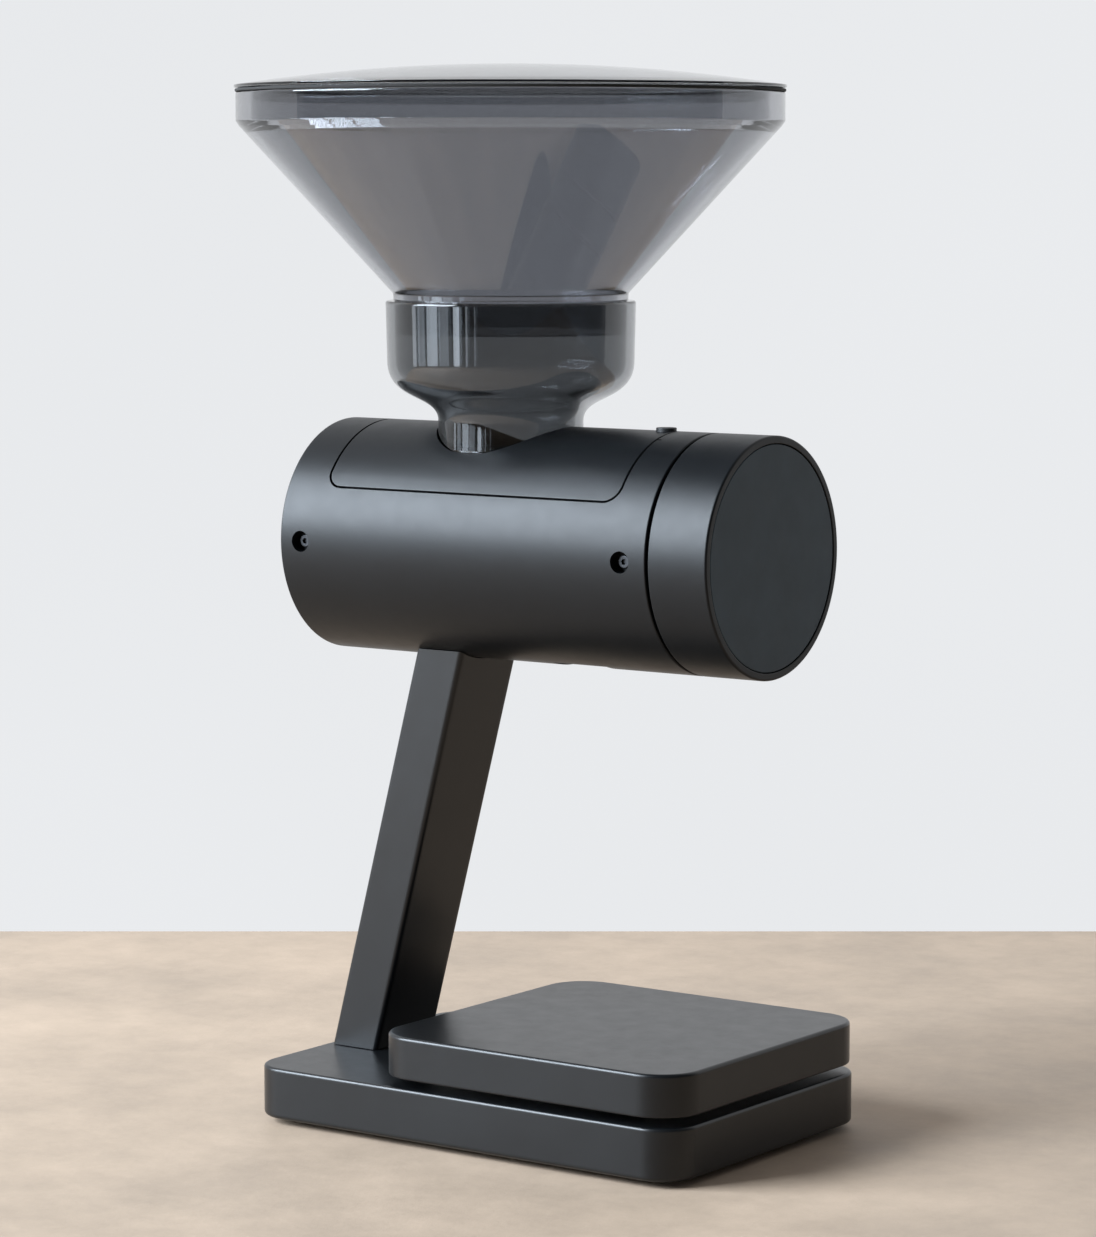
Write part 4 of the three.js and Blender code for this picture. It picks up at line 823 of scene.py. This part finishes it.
def make_body_shell():
    """The body's tube, with the cover's recess and ledge, the screw wells and the chute's opening."""
    shell = body_tube()
    recess_floor = BODY_RADIUS - COVER_THICKNESS - CLEARANCE
    cutters = [
        bent_slab("recess", COVER_SEAM, recess_floor, BODY_RADIUS + BEYOND, COVER_CORNER + COVER_SEAM),
        bent_slab("opening", -COVER_LEDGE, BODY_INNER - BEYOND, BODY_RADIUS, COVER_CORNER),
    ]
    for x, side, _ in screw_places():
        well_floor = BODY_RADIUS - WELL_DEPTH
        cutters.append(side_rod("well", WELL_RADIUS, x, side, well_floor, BODY_RADIUS + BEYOND))
        cutters.append(side_rod("screw_hole", SCREW_HOLE, x, side, BODY_INNER - BEYOND, BODY_RADIUS))
    low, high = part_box("exit_chute")
    bottom = SHELL_LOW.z - BEYOND
    cutters.append(block("chute_space", (low.x - CLEARANCE, low.y - CLEARANCE, bottom),
                         (high.x + CLEARANCE, high.y + CLEARANCE, high.z)))
    cut(shell, cutters)
    place(shell, "stand", "dark_anodised", finish_of("dark_anodised"), "body_shell")


def make_cover():
    """The lift-off panel: a rounded rectangle with a round neck hole, wrapped on the body."""
    length = COVER_HIGH.x - COVER_LOW.x
    outline, out = rectangle(length, 2 * COVER_HALF_RUN, COVER_CORNER, side_steps=COVER_SIDE_STEPS)
    top = BODY_RADIUS
    bottom = BODY_RADIUS - COVER_THICKNESS
    flat = COVER_CORNER * COVER_FLAT
    small = edges().small_edge
    shape = rounded([(flat, top), (0, top), (0, bottom), (flat, bottom)], [0, small, small, 0], closed=False)
    rows = layered(outline, out, shape)
    hole_x = HOPPER_X - middle("top_cover", 0)
    angle = np.arctan2(outline[:, 1] / COVER_HALF_RUN, (outline[:, 0] - hole_x) / (length / 2))
    across = NECK_HOLE * np.sin(angle)
    around = BODY_RADIUS * np.arcsin(across / BODY_RADIUS)
    ring = np.column_stack([hole_x + NECK_HOLE * np.cos(angle), around])
    spread = np.linspace(1, 0, 15)[:-1]
    over = shrunk(rows[0], spread, at_height(ring, top))
    under = shrunk(rows[-1], spread[::-1], at_height(ring, bottom))
    points = bent(centred(np.concatenate([over, rows, under]), middle("top_cover", 0)))
    cover = mesh_object("top_cover_panel", points, True)
    cut(cover, [release_hole()])
    place(cover, "cover", "dark_anodised", finish_of("dark_anodised"), "top_cover")
    make_release_cup()


# ---------------------------------------------------------------- release button

RELEASE_X = middle("release_spring", 0)
RELEASE_RADIUS = 3.65 * MM
RELEASE_HOLE = 3.95 * MM
RELEASE_DISH = 0.3 * MM
RELEASE_RIM = 0.5 * MM  # from the button's side to the edge of its dish
FLANGE_RADIUS = 4.9 * MM
FLANGE_HEIGHT = 1.3 * MM
CUP_INNER = 5.3 * MM
CUP_OUTER = 6 * MM
CUP_FLOOR = 1.2 * MM
CUP_TOP = BODY_AXIS + BODY_RADIUS - COVER_THICKNESS - 0.05 * MM
CUP_BOTTOM = BODY_AXIS + BODY_RADIUS - COVER_THICKNESS - 8.7 * MM
AHEAD_REACH = 20 * MM  # how far the cutters ahead of the cover reach


def release_hole():
    """What the release button passes through, for cutting."""
    foot = BODY_AXIS + BODY_INNER
    head = BODY_TOP + BEYOND
    profile = [(0, foot), (RELEASE_HOLE, foot), (RELEASE_HOLE, head), (0, head)]
    return turned_z("release_hole", profile, (RELEASE_X, 0), HOLE_STEPS)


def ahead_of_cover(x, low, high):
    """What lies ahead of x between two heights, for cutting a round piece level with the cover."""
    return block("ahead", (x, -AHEAD_REACH, low), (x + AHEAD_REACH, AHEAD_REACH, high))


def make_release_cup():
    """The cup under the cover that holds the release button and its spring."""
    floor = CUP_BOTTOM + CUP_FLOOR
    profile = rounded(
        [(0, CUP_BOTTOM), (CUP_OUTER, CUP_BOTTOM), (CUP_OUTER, CUP_TOP), (CUP_INNER, CUP_TOP),
         (CUP_INNER, floor), (0, floor)],
        [0, 0.3 * MM, 0, 0, 0, 0], closed=False)
    cup = turned_z("release_cup", profile, (RELEASE_X, 0), HOLE_STEPS)
    cut(cup, [ahead_of_cover(COVER_HIGH.x, CUP_BOTTOM - 10 * MM, CUP_TOP + 10 * MM)])
    place(cup, "cover", "dark_anodised", finish_of("dark_anodised"))


def dished(rim, top, depth, steps):
    """A (radius, height) run from the middle to the rim: the depth falls off with radius squared."""
    share = np.linspace(0, 1, steps)
    return np.column_stack([rim * share, top - depth * (1 - share**2)])


def make_release_button():
    """A small round key with a dished top and a flange that keeps it in its cup."""
    low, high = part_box("release_button")
    rim = RELEASE_RADIUS - RELEASE_RIM
    shoulder = low.z + FLANGE_HEIGHT
    side = rounded(
        [(0, low.z), (FLANGE_RADIUS, low.z), (FLANGE_RADIUS, shoulder), (RELEASE_RADIUS, shoulder),
         (RELEASE_RADIUS, high.z), (rim, high.z)],
        [0, 0.1 * MM, 0.1 * MM, 0, 0.3 * MM, 0], closed=False)
    bowl = dished(rim, high.z, RELEASE_DISH, 8)[::-1]
    profile = np.vstack([side, bowl[1:]])
    button = turned_z("release_key_cap", profile, (RELEASE_X, 0), SMALL_STEPS)
    cut(button, [ahead_of_cover(COVER_HIGH.x - CLEARANCE, low.z - 10 * MM, low.z + 3 * MM)])
    place(button, "release_key", "black_plastic", finish_of("black_plastic"), "release_button")


# ---------------------------------------------------------------- frame screws, rear end and dial

SCREW_HEAD = 2.3 * MM
SCREW_HEAD_HEIGHT = 1.5 * MM
SCREW_SHANK = 1.4 * MM
SOCKET_ACROSS = 2.3 * MM
SOCKET_DEPTH = 1 * MM
SOCKET_MOUTH = 0.6 * SOCKET_ACROSS  # where the head's flat ends
START_RADIUS = 9 * MM
START_HOLE = 9.3 * MM
START_RIM = 0.8 * MM
START_DISH = 0.5 * MM
START_FLANGE = 1 * MM
DIAL_GROOVE = 1.1 * MM
DIAL_WEB = 3.7 * MM
DIAL_WEB_STEP = 0.6 * MM  # how much thinner the web is inside the hub
JOURNAL_STEP = 8.75 * MM  # from the core's radius to the dial's bore
RETAINER_POCKET = 2.6 * MM
RETAINER_GAP = 0.6 * MM
HUB_OUTER = 14.5 * MM
HUB_INNER = 10.3 * MM
HUB_BACK = 27.5 * MM  # from the plunger's rear to the hub's
FACE_FLAT = 1 * MM  # from the face's edge to the rows that keep it flat


def hexagon(angle, across):
    """Radius of a hexagon of this corner-to-corner width at each angle.

    Its flat's distance over the cosine of the angle from that flat's middle.
    """
    within = (angle % (math.pi / 3)) - math.pi / 6
    return across / 2 * math.cos(math.pi / 6) / np.cos(within)


def make_frame_screws():
    """Socket-head screws: a turned head and shank whose socket is a hexagon."""
    angle = turns(SMALL_STEPS)
    mouth = hexagon(angle, SOCKET_ACROSS)[None]
    for x, side, node in screw_places():
        low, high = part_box(node)
        outer = max(abs(low.y), abs(high.y))
        inner = min(abs(low.y), abs(high.y))
        seat = outer - SCREW_HEAD_HEIGHT
        floor = outer - SOCKET_DEPTH
        body = rounded(
            [(0, inner), (SCREW_SHANK, inner), (SCREW_SHANK, seat), (SCREW_HEAD, seat), (SCREW_HEAD, outer),
             (SOCKET_MOUTH, outer)],
            [0, 0.2 * MM, 0, 0.1 * MM, 0.3 * MM, 0], closed=False)
        turned = np.repeat(body[:, :1], SMALL_STEPS, axis=1)
        radii = np.concatenate([turned, mouth, mouth, 0 * mouth])
        along = np.concatenate([body[:, 1], [outer, floor, floor]])
        points = np.empty((len(along), SMALL_STEPS, 3))
        points[..., 0] = x + radii * np.cos(angle)
        points[..., 1] = side * along[:, None]
        points[..., 2] = BODY_AXIS + radii * np.sin(angle)
        screw = mesh_object(f"{node}_cap_head", points, False)
        place(screw, "stand", "dark_steel", finish_of("dark_steel"), node)


def make_rear_end():
    """The recessed rear cap, and the start button in its middle."""
    low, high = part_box("rear_cap")
    small = edges().small_edge
    profile = rounded(
        [(START_HOLE, low.x), (CORE_RADIUS, low.x), (CORE_RADIUS, high.x), (START_HOLE, high.x)],
        [small, 2 * small, small, small])
    cap = turned_x("rear_cap_disc", profile, FINE_STEPS, loop=True)
    place(cap, "stand", "dial_face", finish_of("dial_face"), "rear_cap")

    low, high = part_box("start_button")
    flange = high.y
    seat = high.x - START_FLANGE
    rim = START_RADIUS - START_RIM
    bowl = dished(rim, low.x, -START_DISH, 10)
    side = rounded(
        [(rim, low.x), (START_RADIUS, low.x), (START_RADIUS, seat), (flange, seat), (flange, high.x),
         (0, high.x)],
        [0, 0.4 * MM, 0, 0.2 * MM, 0.2 * MM, 0], closed=False)
    button = turned_x("start_button_cap", np.vstack([bowl[:-1], side]), ROUND_STEPS)
    place(button, "start_key", "black_plastic", finish_of("black_plastic"), "start_button")


def make_dial():
    """The grind dial: a smooth ring turned about the axis with a hub inside, and its inset face."""
    low, high = DIAL_LOW, DIAL_HIGH
    edge = edges().body_edge
    back = SHELL_HIGH.x + DIAL_GROOVE
    rim_inner = FACE_HIGH.y + CLEARANCE
    floor = FACE_LOW.x - CLEARANCE
    web = floor - DIAL_WEB
    thin_web = web + DIAL_WEB_STEP
    bore = CORE_RADIUS - JOURNAL_STEP
    pocket = bore + RETAINER_POCKET
    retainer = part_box("dial_retainer")[0].x - RETAINER_GAP
    hub_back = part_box("thrust_plunger")[0].x + HUB_BACK
    profile = rounded(
        [(0, floor), (rim_inner, floor), (rim_inner, high.x), (BODY_RADIUS, high.x), (BODY_RADIUS, back),
         (CORE_RADIUS, back), (CORE_RADIUS, low.x), (bore, low.x), (bore, retainer), (pocket, retainer),
         (pocket, web), (HUB_OUTER, web), (HUB_OUTER, hub_back), (HUB_INNER, hub_back),
         (HUB_INNER, thin_web), (0, thin_web)],
        [0, 0, edge / 2, 1.4 * edge, edge, 0, edge / 2, edge / 2, 0, 0, 0, 0, edge / 2, edge / 2, 0, 0],
        closed=False)
    dial = turned_x("grind_dial_ring", profile, FINE_STEPS)
    place(dial, "dial", "dark_anodised", finish_of("dark_anodised"), "adjustment_dial")

    radius = FACE_HIGH.y
    profile = rounded([(0, FACE_LOW.x), (radius, FACE_LOW.x), (radius, FACE_HIGH.x), (0, FACE_HIGH.x)],
                      [0, 0.2 * MM, 0.35 * MM, 0], closed=False)
    inner_rows = np.linspace(0.999, 0, 12)[:-1] * (radius - FACE_FLAT)
    front = np.column_stack([inner_rows, np.full(len(inner_rows), FACE_HIGH.x)])
    face = turned_x("dial_face_disc", np.vstack([profile[:-1], front, profile[-1:]]), FINE_STEPS)
    place(face, "dial", "dial_face", finish_of("dial_face"), "dial_face")


# ---------------------------------------------------------------- exit spout

CHUTE_WALL = 1.6 * MM
CHUTE_CORNER = 1.2 * MM
CHUTE_INNER_CORNER = 0.6 * MM
CHUTE_RECESS = 2.1 * MM
CHUTE_CROWN = 0.4 * MM  # how far the end's outer edge stands back from its middle
CHAMBER_GAP = 2.3 * MM


def make_chute():
    """The exit spout: a rounded square tube carried up until it meets the round burr chamber."""
    low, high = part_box("exit_chute")
    end = BODY_AXIS - BODY_RADIUS + CHUTE_RECESS
    tubes = []
    for wall, corner in ((0, CHUTE_CORNER), (CHUTE_WALL, CHUTE_INNER_CORNER)):
        length = high.x - low.x - 2 * wall
        width = high.y - low.y - 2 * wall
        outline, _ = rectangle(length, width, corner, arc_steps=8, side_steps=20)
        tubes.append(leaning_tube(outline, middle("exit_chute", 0), end, 0, BODY_INNER - CHAMBER_GAP, 12))
    outside, inside = tubes
    outside[0, :, 2] += CHUTE_CROWN
    crown = (outside[0] + inside[0]) / 2
    crown[:, 2] = end
    points = np.concatenate([crown[None], outside, inside[::-1]])
    chute = mesh_object("exit_spout", points, True)
    place(chute, "stand", "black_plastic", finish_of("black_plastic"), "exit_chute")


# ---------------------------------------------------------------- hopper

NECK_RADIUS = 26.3 * MM
COLLAR_WALL = 3.1 * MM
COLLAR_TAPER = 0.5 * MM  # how much narrower the ring's foot is than its top
FLARE_FOOT = BODY_TOP + 1.4 * MM
FLARE_TOP = BODY_TOP + 23.1 * MM
FLARE_FOOT_PULL = 9.6 * MM
FLARE_TOP_PULL = 15 * MM
CONE_FOOT = BODY_TOP + 45 * MM
CONE_BASE = BODY_TOP + 47.5 * MM
CONE_BASE_RADIUS = 42.9 * MM
CONE_WALL = 4.06 * MM  # across, where the cone begins
CONE_SLOPE = 0.914  # how much wider the cone gets for each step up
SPIGOT_OUTER = 41.6 * MM
SPIGOT_INNER = 38.6 * MM
RIM_WALL = 5.6 * MM
RIM_STEP = 1.35 * MM  # from the rim's radius to the cone's widest
RIM_SHOULDER = 1.9 * MM


def smooth_curve(start, start_pull, end_pull, end):
    """A cubic curve between two (radius, height) points, drawn towards two others on its way.

    The four weigh in by the share left cubed, three times the share left squared times the share
    gone, three times the share left times the share gone squared, and the share gone cubed.
    """
    share = np.linspace(0, 1, 28)[:, None]
    rest = 1 - share
    return (rest**3 * np.array(start) + 3 * rest**2 * share * np.array(start_pull)
            + 3 * rest * share**2 * np.array(end_pull) + share**3 * np.array(end))


def offset(curve, distance):
    """A curve moved to the left of its own direction by a distance."""
    direction = np.gradient(curve, axis=0)
    direction /= np.linalg.norm(direction, axis=1)[:, None]
    return curve + distance * np.column_stack([-direction[:, 1], direction[:, 0]])


def make_collar():
    """The collar: a neck that flares in an S into a straight ring, carried round the hopper's axis."""
    radius = COLLAR_HIGH.y
    ring_foot = radius - COLLAR_TAPER
    flare = smooth_curve((NECK_RADIUS, FLARE_FOOT), (NECK_RADIUS, FLARE_FOOT + FLARE_FOOT_PULL),
                         (ring_foot, FLARE_TOP - FLARE_TOP_PULL), (ring_foot, FLARE_TOP))
    inside = offset(flare, COLLAR_WALL)
    top = COLLAR_HIGH.z
    bottom = COLLAR_LOW.z
    rim = rounded([flare[-1], (radius, top), (radius - COLLAR_WALL, top), inside[-1]],
                  [0, 0.9 * MM, 0.7 * MM, 0], closed=False)
    foot = rounded([inside[0], (NECK_RADIUS - COLLAR_WALL, bottom), (NECK_RADIUS, bottom), flare[0]],
                   [0, 0.5 * MM, 0.5 * MM, 0], closed=False)
    profile = np.vstack([flare[:-1], rim, inside[::-1][1:-1], foot[:-1]])
    collar = turned_z("smoke_collar", profile, (HOPPER_X, 0), FINE_STEPS, loop=True)
    # the collar's darker copy of the smoke tint is painted shade
    place(collar, "collar", "smoke_plastic", finish_of("painted_shade_smoke"), "hopper_collar")


def make_cone():
    """The funnel: spigot, foot, cone and thick upright rim, carried round the hopper's axis."""
    rim = CONE_HIGH.y
    rim_inner = rim - RIM_WALL
    widest = rim - RIM_STEP
    cone_top = CONE_BASE + (widest - CONE_BASE_RADIUS) / CONE_SLOPE
    inner_base = CONE_BASE_RADIUS - CONE_WALL
    inner_top = CONE_BASE + (rim_inner - inner_base) / CONE_SLOPE
    corners = [  # radius, height and rounding
        (SPIGOT_INNER, CONE_LOW.z, 0.5 * MM),
        (SPIGOT_OUTER, CONE_LOW.z, 0.5 * MM),
        (SPIGOT_OUTER, CONE_FOOT, 0.2 * MM),
        (CONE_BASE_RADIUS - 0.55 * MM, CONE_FOOT, 0.3 * MM),
        (CONE_BASE_RADIUS - 0.4 * MM, CONE_BASE - 0.2 * MM, 0.7 * MM),
        (widest, cone_top, 1.4 * MM),
        (rim, cone_top + RIM_SHOULDER, 1.2 * MM),
        (rim, CONE_HIGH.z, 0.4 * MM),
        (rim_inner, CONE_HIGH.z, 0.4 * MM),
        (rim_inner, inner_top, 0.5 * MM),
        (inner_base, CONE_BASE, 1.2 * MM),
    ]
    corners = np.array(corners)
    profile = rounded(corners[:, :2], corners[:, 2])
    cone = turned_z("smoke_funnel", profile, (HOPPER_X, 0), FINE_STEPS, loop=True)
    place(cone, "cone", "smoke_plastic", finish_of("smoke_plastic"), "hopper_cone")


LID_RISE = 7.6 * MM
LID_LIP = 1.1 * MM
LID_THICKNESS = 2.4 * MM
DOME_EDGE = 0.5 * MM  # from the lid's edge to the dome's last row
PLUG_GAP = 0.5 * MM
PLUG_WALL = 2.4 * MM
SEAL_WIDTH = 5 * MM


def dome(radii, drop):
    """A (radius, height) run over the lid's sphere, lowered by a drop.

    The sphere's radius is the lid's radius squared plus its rise squared, over twice the rise.
    """
    sphere = (LID_HIGH.y**2 + LID_RISE**2) / (2 * LID_RISE)
    return np.column_stack([radii, LID_HIGH.z - sphere + np.sqrt(sphere**2 - radii**2) - drop])


def make_lid():
    """The lid: a shallow dome of even thickness with a plug ring below, and the dark seal under it."""
    radius = LID_HIGH.y
    edge = LID_HIGH.z - LID_RISE
    bottom = edge - LID_LIP
    plug_outer = CONE_HIGH.y - RIM_WALL - PLUG_GAP
    plug_inner = plug_outer - PLUG_WALL
    outside = dome(np.linspace(0, 1, 40) * (radius - DOME_EDGE), 0)
    ceiling = dome(np.linspace(1, 0, 30) * plug_inner, LID_THICKNESS)
    lip = rounded(
        [outside[-1], (radius, edge), (radius, bottom), (plug_outer, bottom), (plug_outer, LID_LOW.z),
         (plug_inner, LID_LOW.z), ceiling[0]],
        [0, 0.4 * MM, 0.3 * MM, 0, 0.4 * MM, 0.4 * MM, 0], closed=False)
    profile = np.vstack([outside[:-1], lip, ceiling[1:]])
    lid = turned_z("smoke_lid", profile, (HOPPER_X, 0), FINE_STEPS)
    # the lid's paler copy of the smoke tint is painted light
    place(lid, "lid_cap", "smoke_plastic", finish_of("painted_light_smoke"), "lid")

    outer = SEAL_HIGH.y
    inner = outer - SEAL_WIDTH
    profile = rounded([(inner, SEAL_LOW.z), (outer, SEAL_LOW.z), (outer, SEAL_HIGH.z), (inner, SEAL_HIGH.z)],
                      0.3 * MM)
    seal = turned_z("lid_seal_ring", profile, (HOPPER_X, 0), FINE_STEPS, loop=True)
    place(seal, "lid_cap", "rubber", finish_of("rubber"), "lid_seal")


# ---------------------------------------------------------------- inner parts

NODE_FINISH = {
    "base_bottom_plate": "black_plastic",
    "base_plate_screw": "dark_steel",
    "post_foot_screw": "dark_steel",
    "post_head_screw": "dark_steel",
    "scale_board": "circuit_board",
    "power_inlet": "black_plastic",
    "release_spring": "steel",
    "rear_bearing": "steel",
    "middle_bearing": "steel",
    "thrust_bearing": "steel",
    "motor_control_board": "circuit_board",
    "motor_windings": "copper",
    "motor_stator": "laminations",
    "motor_rotor": "dark_steel",
    "return_spring": "steel",
    "feed_auger": "steel",
    "drive_shaft": "steel",
    "stationary_burr": "steel",
    "rotating_burr": "steel",
    "thrust_plunger": "steel",
    "dial_retainer": "steel",
    "throat_gasket": "rubber",
}


def dress_inner_parts():
    """Gives every node that is still shown the finish of its slot."""
    for name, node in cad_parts.items():
        if node.hide_render:
            continue
        slot = NODE_FINISH.get(name) or NODE_FINISH.get(name.rstrip("_0123456789"), "cast_alloy")
        node.data.materials.clear()
        node.data.materials.append(finish_of(slot))

# ---------------------------------------------------------------- stage

CAMERA_PLACE = (0.8715, -1.2107, 0.3468)
CAMERA_AZIMUTH = 35.464  # degrees from straight in front, towards the grind dial
CAMERA_ELEVATION = 6.202
CAMERA_LENS = 120.454
WINDOW_DISTANCE = 1.9
WINDOW_COLOR = (0.85, 0.96, 1.08)
WINDOWS = [  # azimuth in degrees, foot, head, width and radiance of each pane
    (-57, 0.46, 2.0, 0.42, 26),
    (-43, 0.46, 2.0, 0.42, 26),
    (-29, 0.46, 2.0, 0.42, 26),
    (-115, 0.02, 1.4, 0.9, 0.9),
    (-98, 0.03, 0.31, 0.1, 6),
    (-87, 0.03, 0.31, 0.07, 6),
    (-76, 0.03, 0.31, 0.1, 6),
    (-64, 0.03, 0.31, 0.2, 3),
    (-54, 0.03, 0.31, 0.28, 2),
    (-41, 0.03, 0.31, 0.4, 5),
    (-28, 0.03, 0.31, 0.34, 2),
    (-15, 0.03, 0.31, 0.2, 7),
    (-5, 0.03, 0.31, 0.06, 3),
    (3, 0.03, 0.31, 0.04, 2),
]
WALL_BEHIND = 0.375  # from the grinder's middle to the wall, away from the camera
WALL_HEIGHT = 2.6
TABLE_REACH = 3.0  # to each side, and towards the camera


def direction(azimuth, elevation):
    """The unit direction from the grinder towards a place seen at this azimuth and elevation."""
    azimuth = math.radians(azimuth)
    elevation = math.radians(elevation)
    level = math.cos(elevation)
    return Vector((math.sin(azimuth) * level, -math.cos(azimuth) * level, math.sin(elevation)))


def stage_sheet(name, corners, material):
    """A flat four-cornered sheet of the stage."""
    mesh = bpy.data.meshes.new(name)
    mesh.from_pydata([tuple(corner) for corner in corners], [], [(0, 1, 2, 3)])
    mesh.materials.append(material)
    sheet = bpy.data.objects.new(name, mesh)
    bpy.context.scene.collection.objects.link(sheet)


def make_table_and_wall():
    """The table top, and the wall that stands behind it square to the camera."""
    away = -direction(CAMERA_AZIMUTH, 0)
    side = Vector((-away.y, away.x, 0)) * TABLE_REACH
    foot = away * WALL_BEHIND
    near = -away * TABLE_REACH
    table = [foot + side, near + side, near - side, foot - side]
    stage_sheet("table_top", table, table_stone("pale_plaster", finish().table))
    up = Vector((0, 0, WALL_HEIGHT))
    wall = [foot - side + up, foot + side + up, foot + side, foot - side]
    stage_sheet("back_wall", wall, one_sided_wall("wall_paint", finish().wall))


def window_light(name, azimuth, low, high, width, radiance):
    """An upright soft light between two heights, that faces the grinder from the windows' distance."""
    data = bpy.data.lights.new(name, "AREA")
    data.shape = "RECTANGLE"
    data.size = width
    data.size_y = high - low
    data.energy = radiance * math.pi * width * (high - low)
    data.color = WINDOW_COLOR
    light = bpy.data.objects.new(name, data)
    toward = direction(azimuth, 0)
    light.location = toward * WINDOW_DISTANCE + Vector((0, 0, (low + high) / 2))
    light.rotation_euler = toward.to_track_quat("Z", "Y").to_euler()
    bpy.context.scene.collection.objects.link(light)


def make_camera():
    """The camera, in front of the grinder towards its dial end, a little above level."""
    data = bpy.data.cameras.new("camera")
    data.lens = CAMERA_LENS
    data.sensor_width = 36
    data.sensor_fit = "AUTO"
    camera = bpy.data.objects.new("camera", data)
    camera.location = CAMERA_PLACE
    back = direction(CAMERA_AZIMUTH, CAMERA_ELEVATION)
    camera.rotation_euler = (-back).to_track_quat("-Z", "Y").to_euler()
    bpy.context.scene.collection.objects.link(camera)
    bpy.context.scene.camera = camera


def make_world():
    """An even, dim sky of cool light."""
    world = bpy.data.worlds.new("room")
    world.use_nodes = True
    back = world.node_tree.nodes["Background"]
    back.inputs["Color"].default_value = (0.86, 0.92, 1.0, 1)
    back.inputs["Strength"].default_value = 0.16
    bpy.context.scene.world = world


def make_stage():
    """Table, wall, lights, sky and camera."""
    bpy.context.scene.view_settings.view_transform = "Standard"
    make_table_and_wall()
    make_camera()
    make_world()
    for number, (azimuth, low, high, width, radiance) in enumerate(WINDOWS, 1):
        window_light(f"window_{number}", azimuth, low, high, width, radiance)


# ---------------------------------------------------------------- add-on


def operator(idname, label, text, work):
    """An Operator class that runs one making function."""

    def execute(self, context):
        work()
        return {"FINISHED"}

    fields = {"bl_idname": idname, "bl_label": label, "__doc__": text, "execute": execute}
    name = "GRINDER_OT_" + idname.split(".")[1]
    return type(name, (bpy.types.Operator,), fields)


OPERATORS = [
    operator("grinder.stage", "Stage", "Makes the table, wall, lights and camera", make_stage),
    operator("grinder.base", "Base", "Makes the base housing", make_base),
    operator("grinder.feet", "Feet", "Makes the four rubber feet", make_feet),
    operator("grinder.platform", "Platform", "Makes the weighing platform", make_platform),
    operator("grinder.post", "Post", "Makes the leaning post", make_post),
    operator("grinder.body", "Body", "Makes the body's tube", make_body_shell),
    operator("grinder.cover", "Cover", "Makes the top cover panel", make_cover),
    operator("grinder.release_button", "Release button", "Makes the release button", make_release_button),
    operator("grinder.frame_screws", "Frame screws", "Makes the four frame screws", make_frame_screws),
    operator("grinder.rear_end", "Rear end", "Makes the rear cap and start button", make_rear_end),
    operator("grinder.dial", "Grind dial", "Makes the dial ring and its face", make_dial),
    operator("grinder.chute", "Exit spout", "Makes the spout under the body", make_chute),
    operator("grinder.collar", "Hopper collar", "Makes the hopper's collar", make_collar),
    operator("grinder.cone", "Hopper cone", "Makes the funnel", make_cone),
    operator("grinder.lid", "Lid", "Makes the lid and its seal", make_lid),
    operator("grinder.inner_parts", "Inner parts", "Finishes the parts inside", dress_inner_parts),
]


class GRINDER_PT_sidebar(bpy.types.Panel):
    """Lists the sizes, the colours and every making step."""

    bl_label = "Grinder"
    bl_idname = "GRINDER_PT_sidebar"
    bl_space_type = "VIEW_3D"
    bl_region_type = "UI"
    bl_category = "Grinder"

    def draw(self, context):
        """Draws the settings, then one button for each piece."""
        for group in (context.scene.grinder_finish, context.scene.grinder_edges):
            for setting in group.__annotations__:
                self.layout.prop(group, setting)
        for made in OPERATORS:
            self.layout.operator(made.bl_idname)


CLASSES = [GrinderFinish, GrinderEdges, *OPERATORS, GRINDER_PT_sidebar]


def register():
    """Adds the classes and the two groups of settings."""
    for item in CLASSES:
        bpy.utils.register_class(item)
    bpy.types.Scene.grinder_finish = bpy.props.PointerProperty(type=GrinderFinish)
    bpy.types.Scene.grinder_edges = bpy.props.PointerProperty(type=GrinderEdges)


def unregister():
    """Takes away what register added."""
    del bpy.types.Scene.grinder_edges
    del bpy.types.Scene.grinder_finish
    for item in reversed(CLASSES):
        bpy.utils.unregister_class(item)


def main():
    """Builds the stage and every piece in order, and writes the two boxes."""
    register()
    for made in OPERATORS:
        group, name = made.bl_idname.split(".")
        getattr(getattr(bpy.ops, group), name)()


if __name__ == "__main__":
    main()
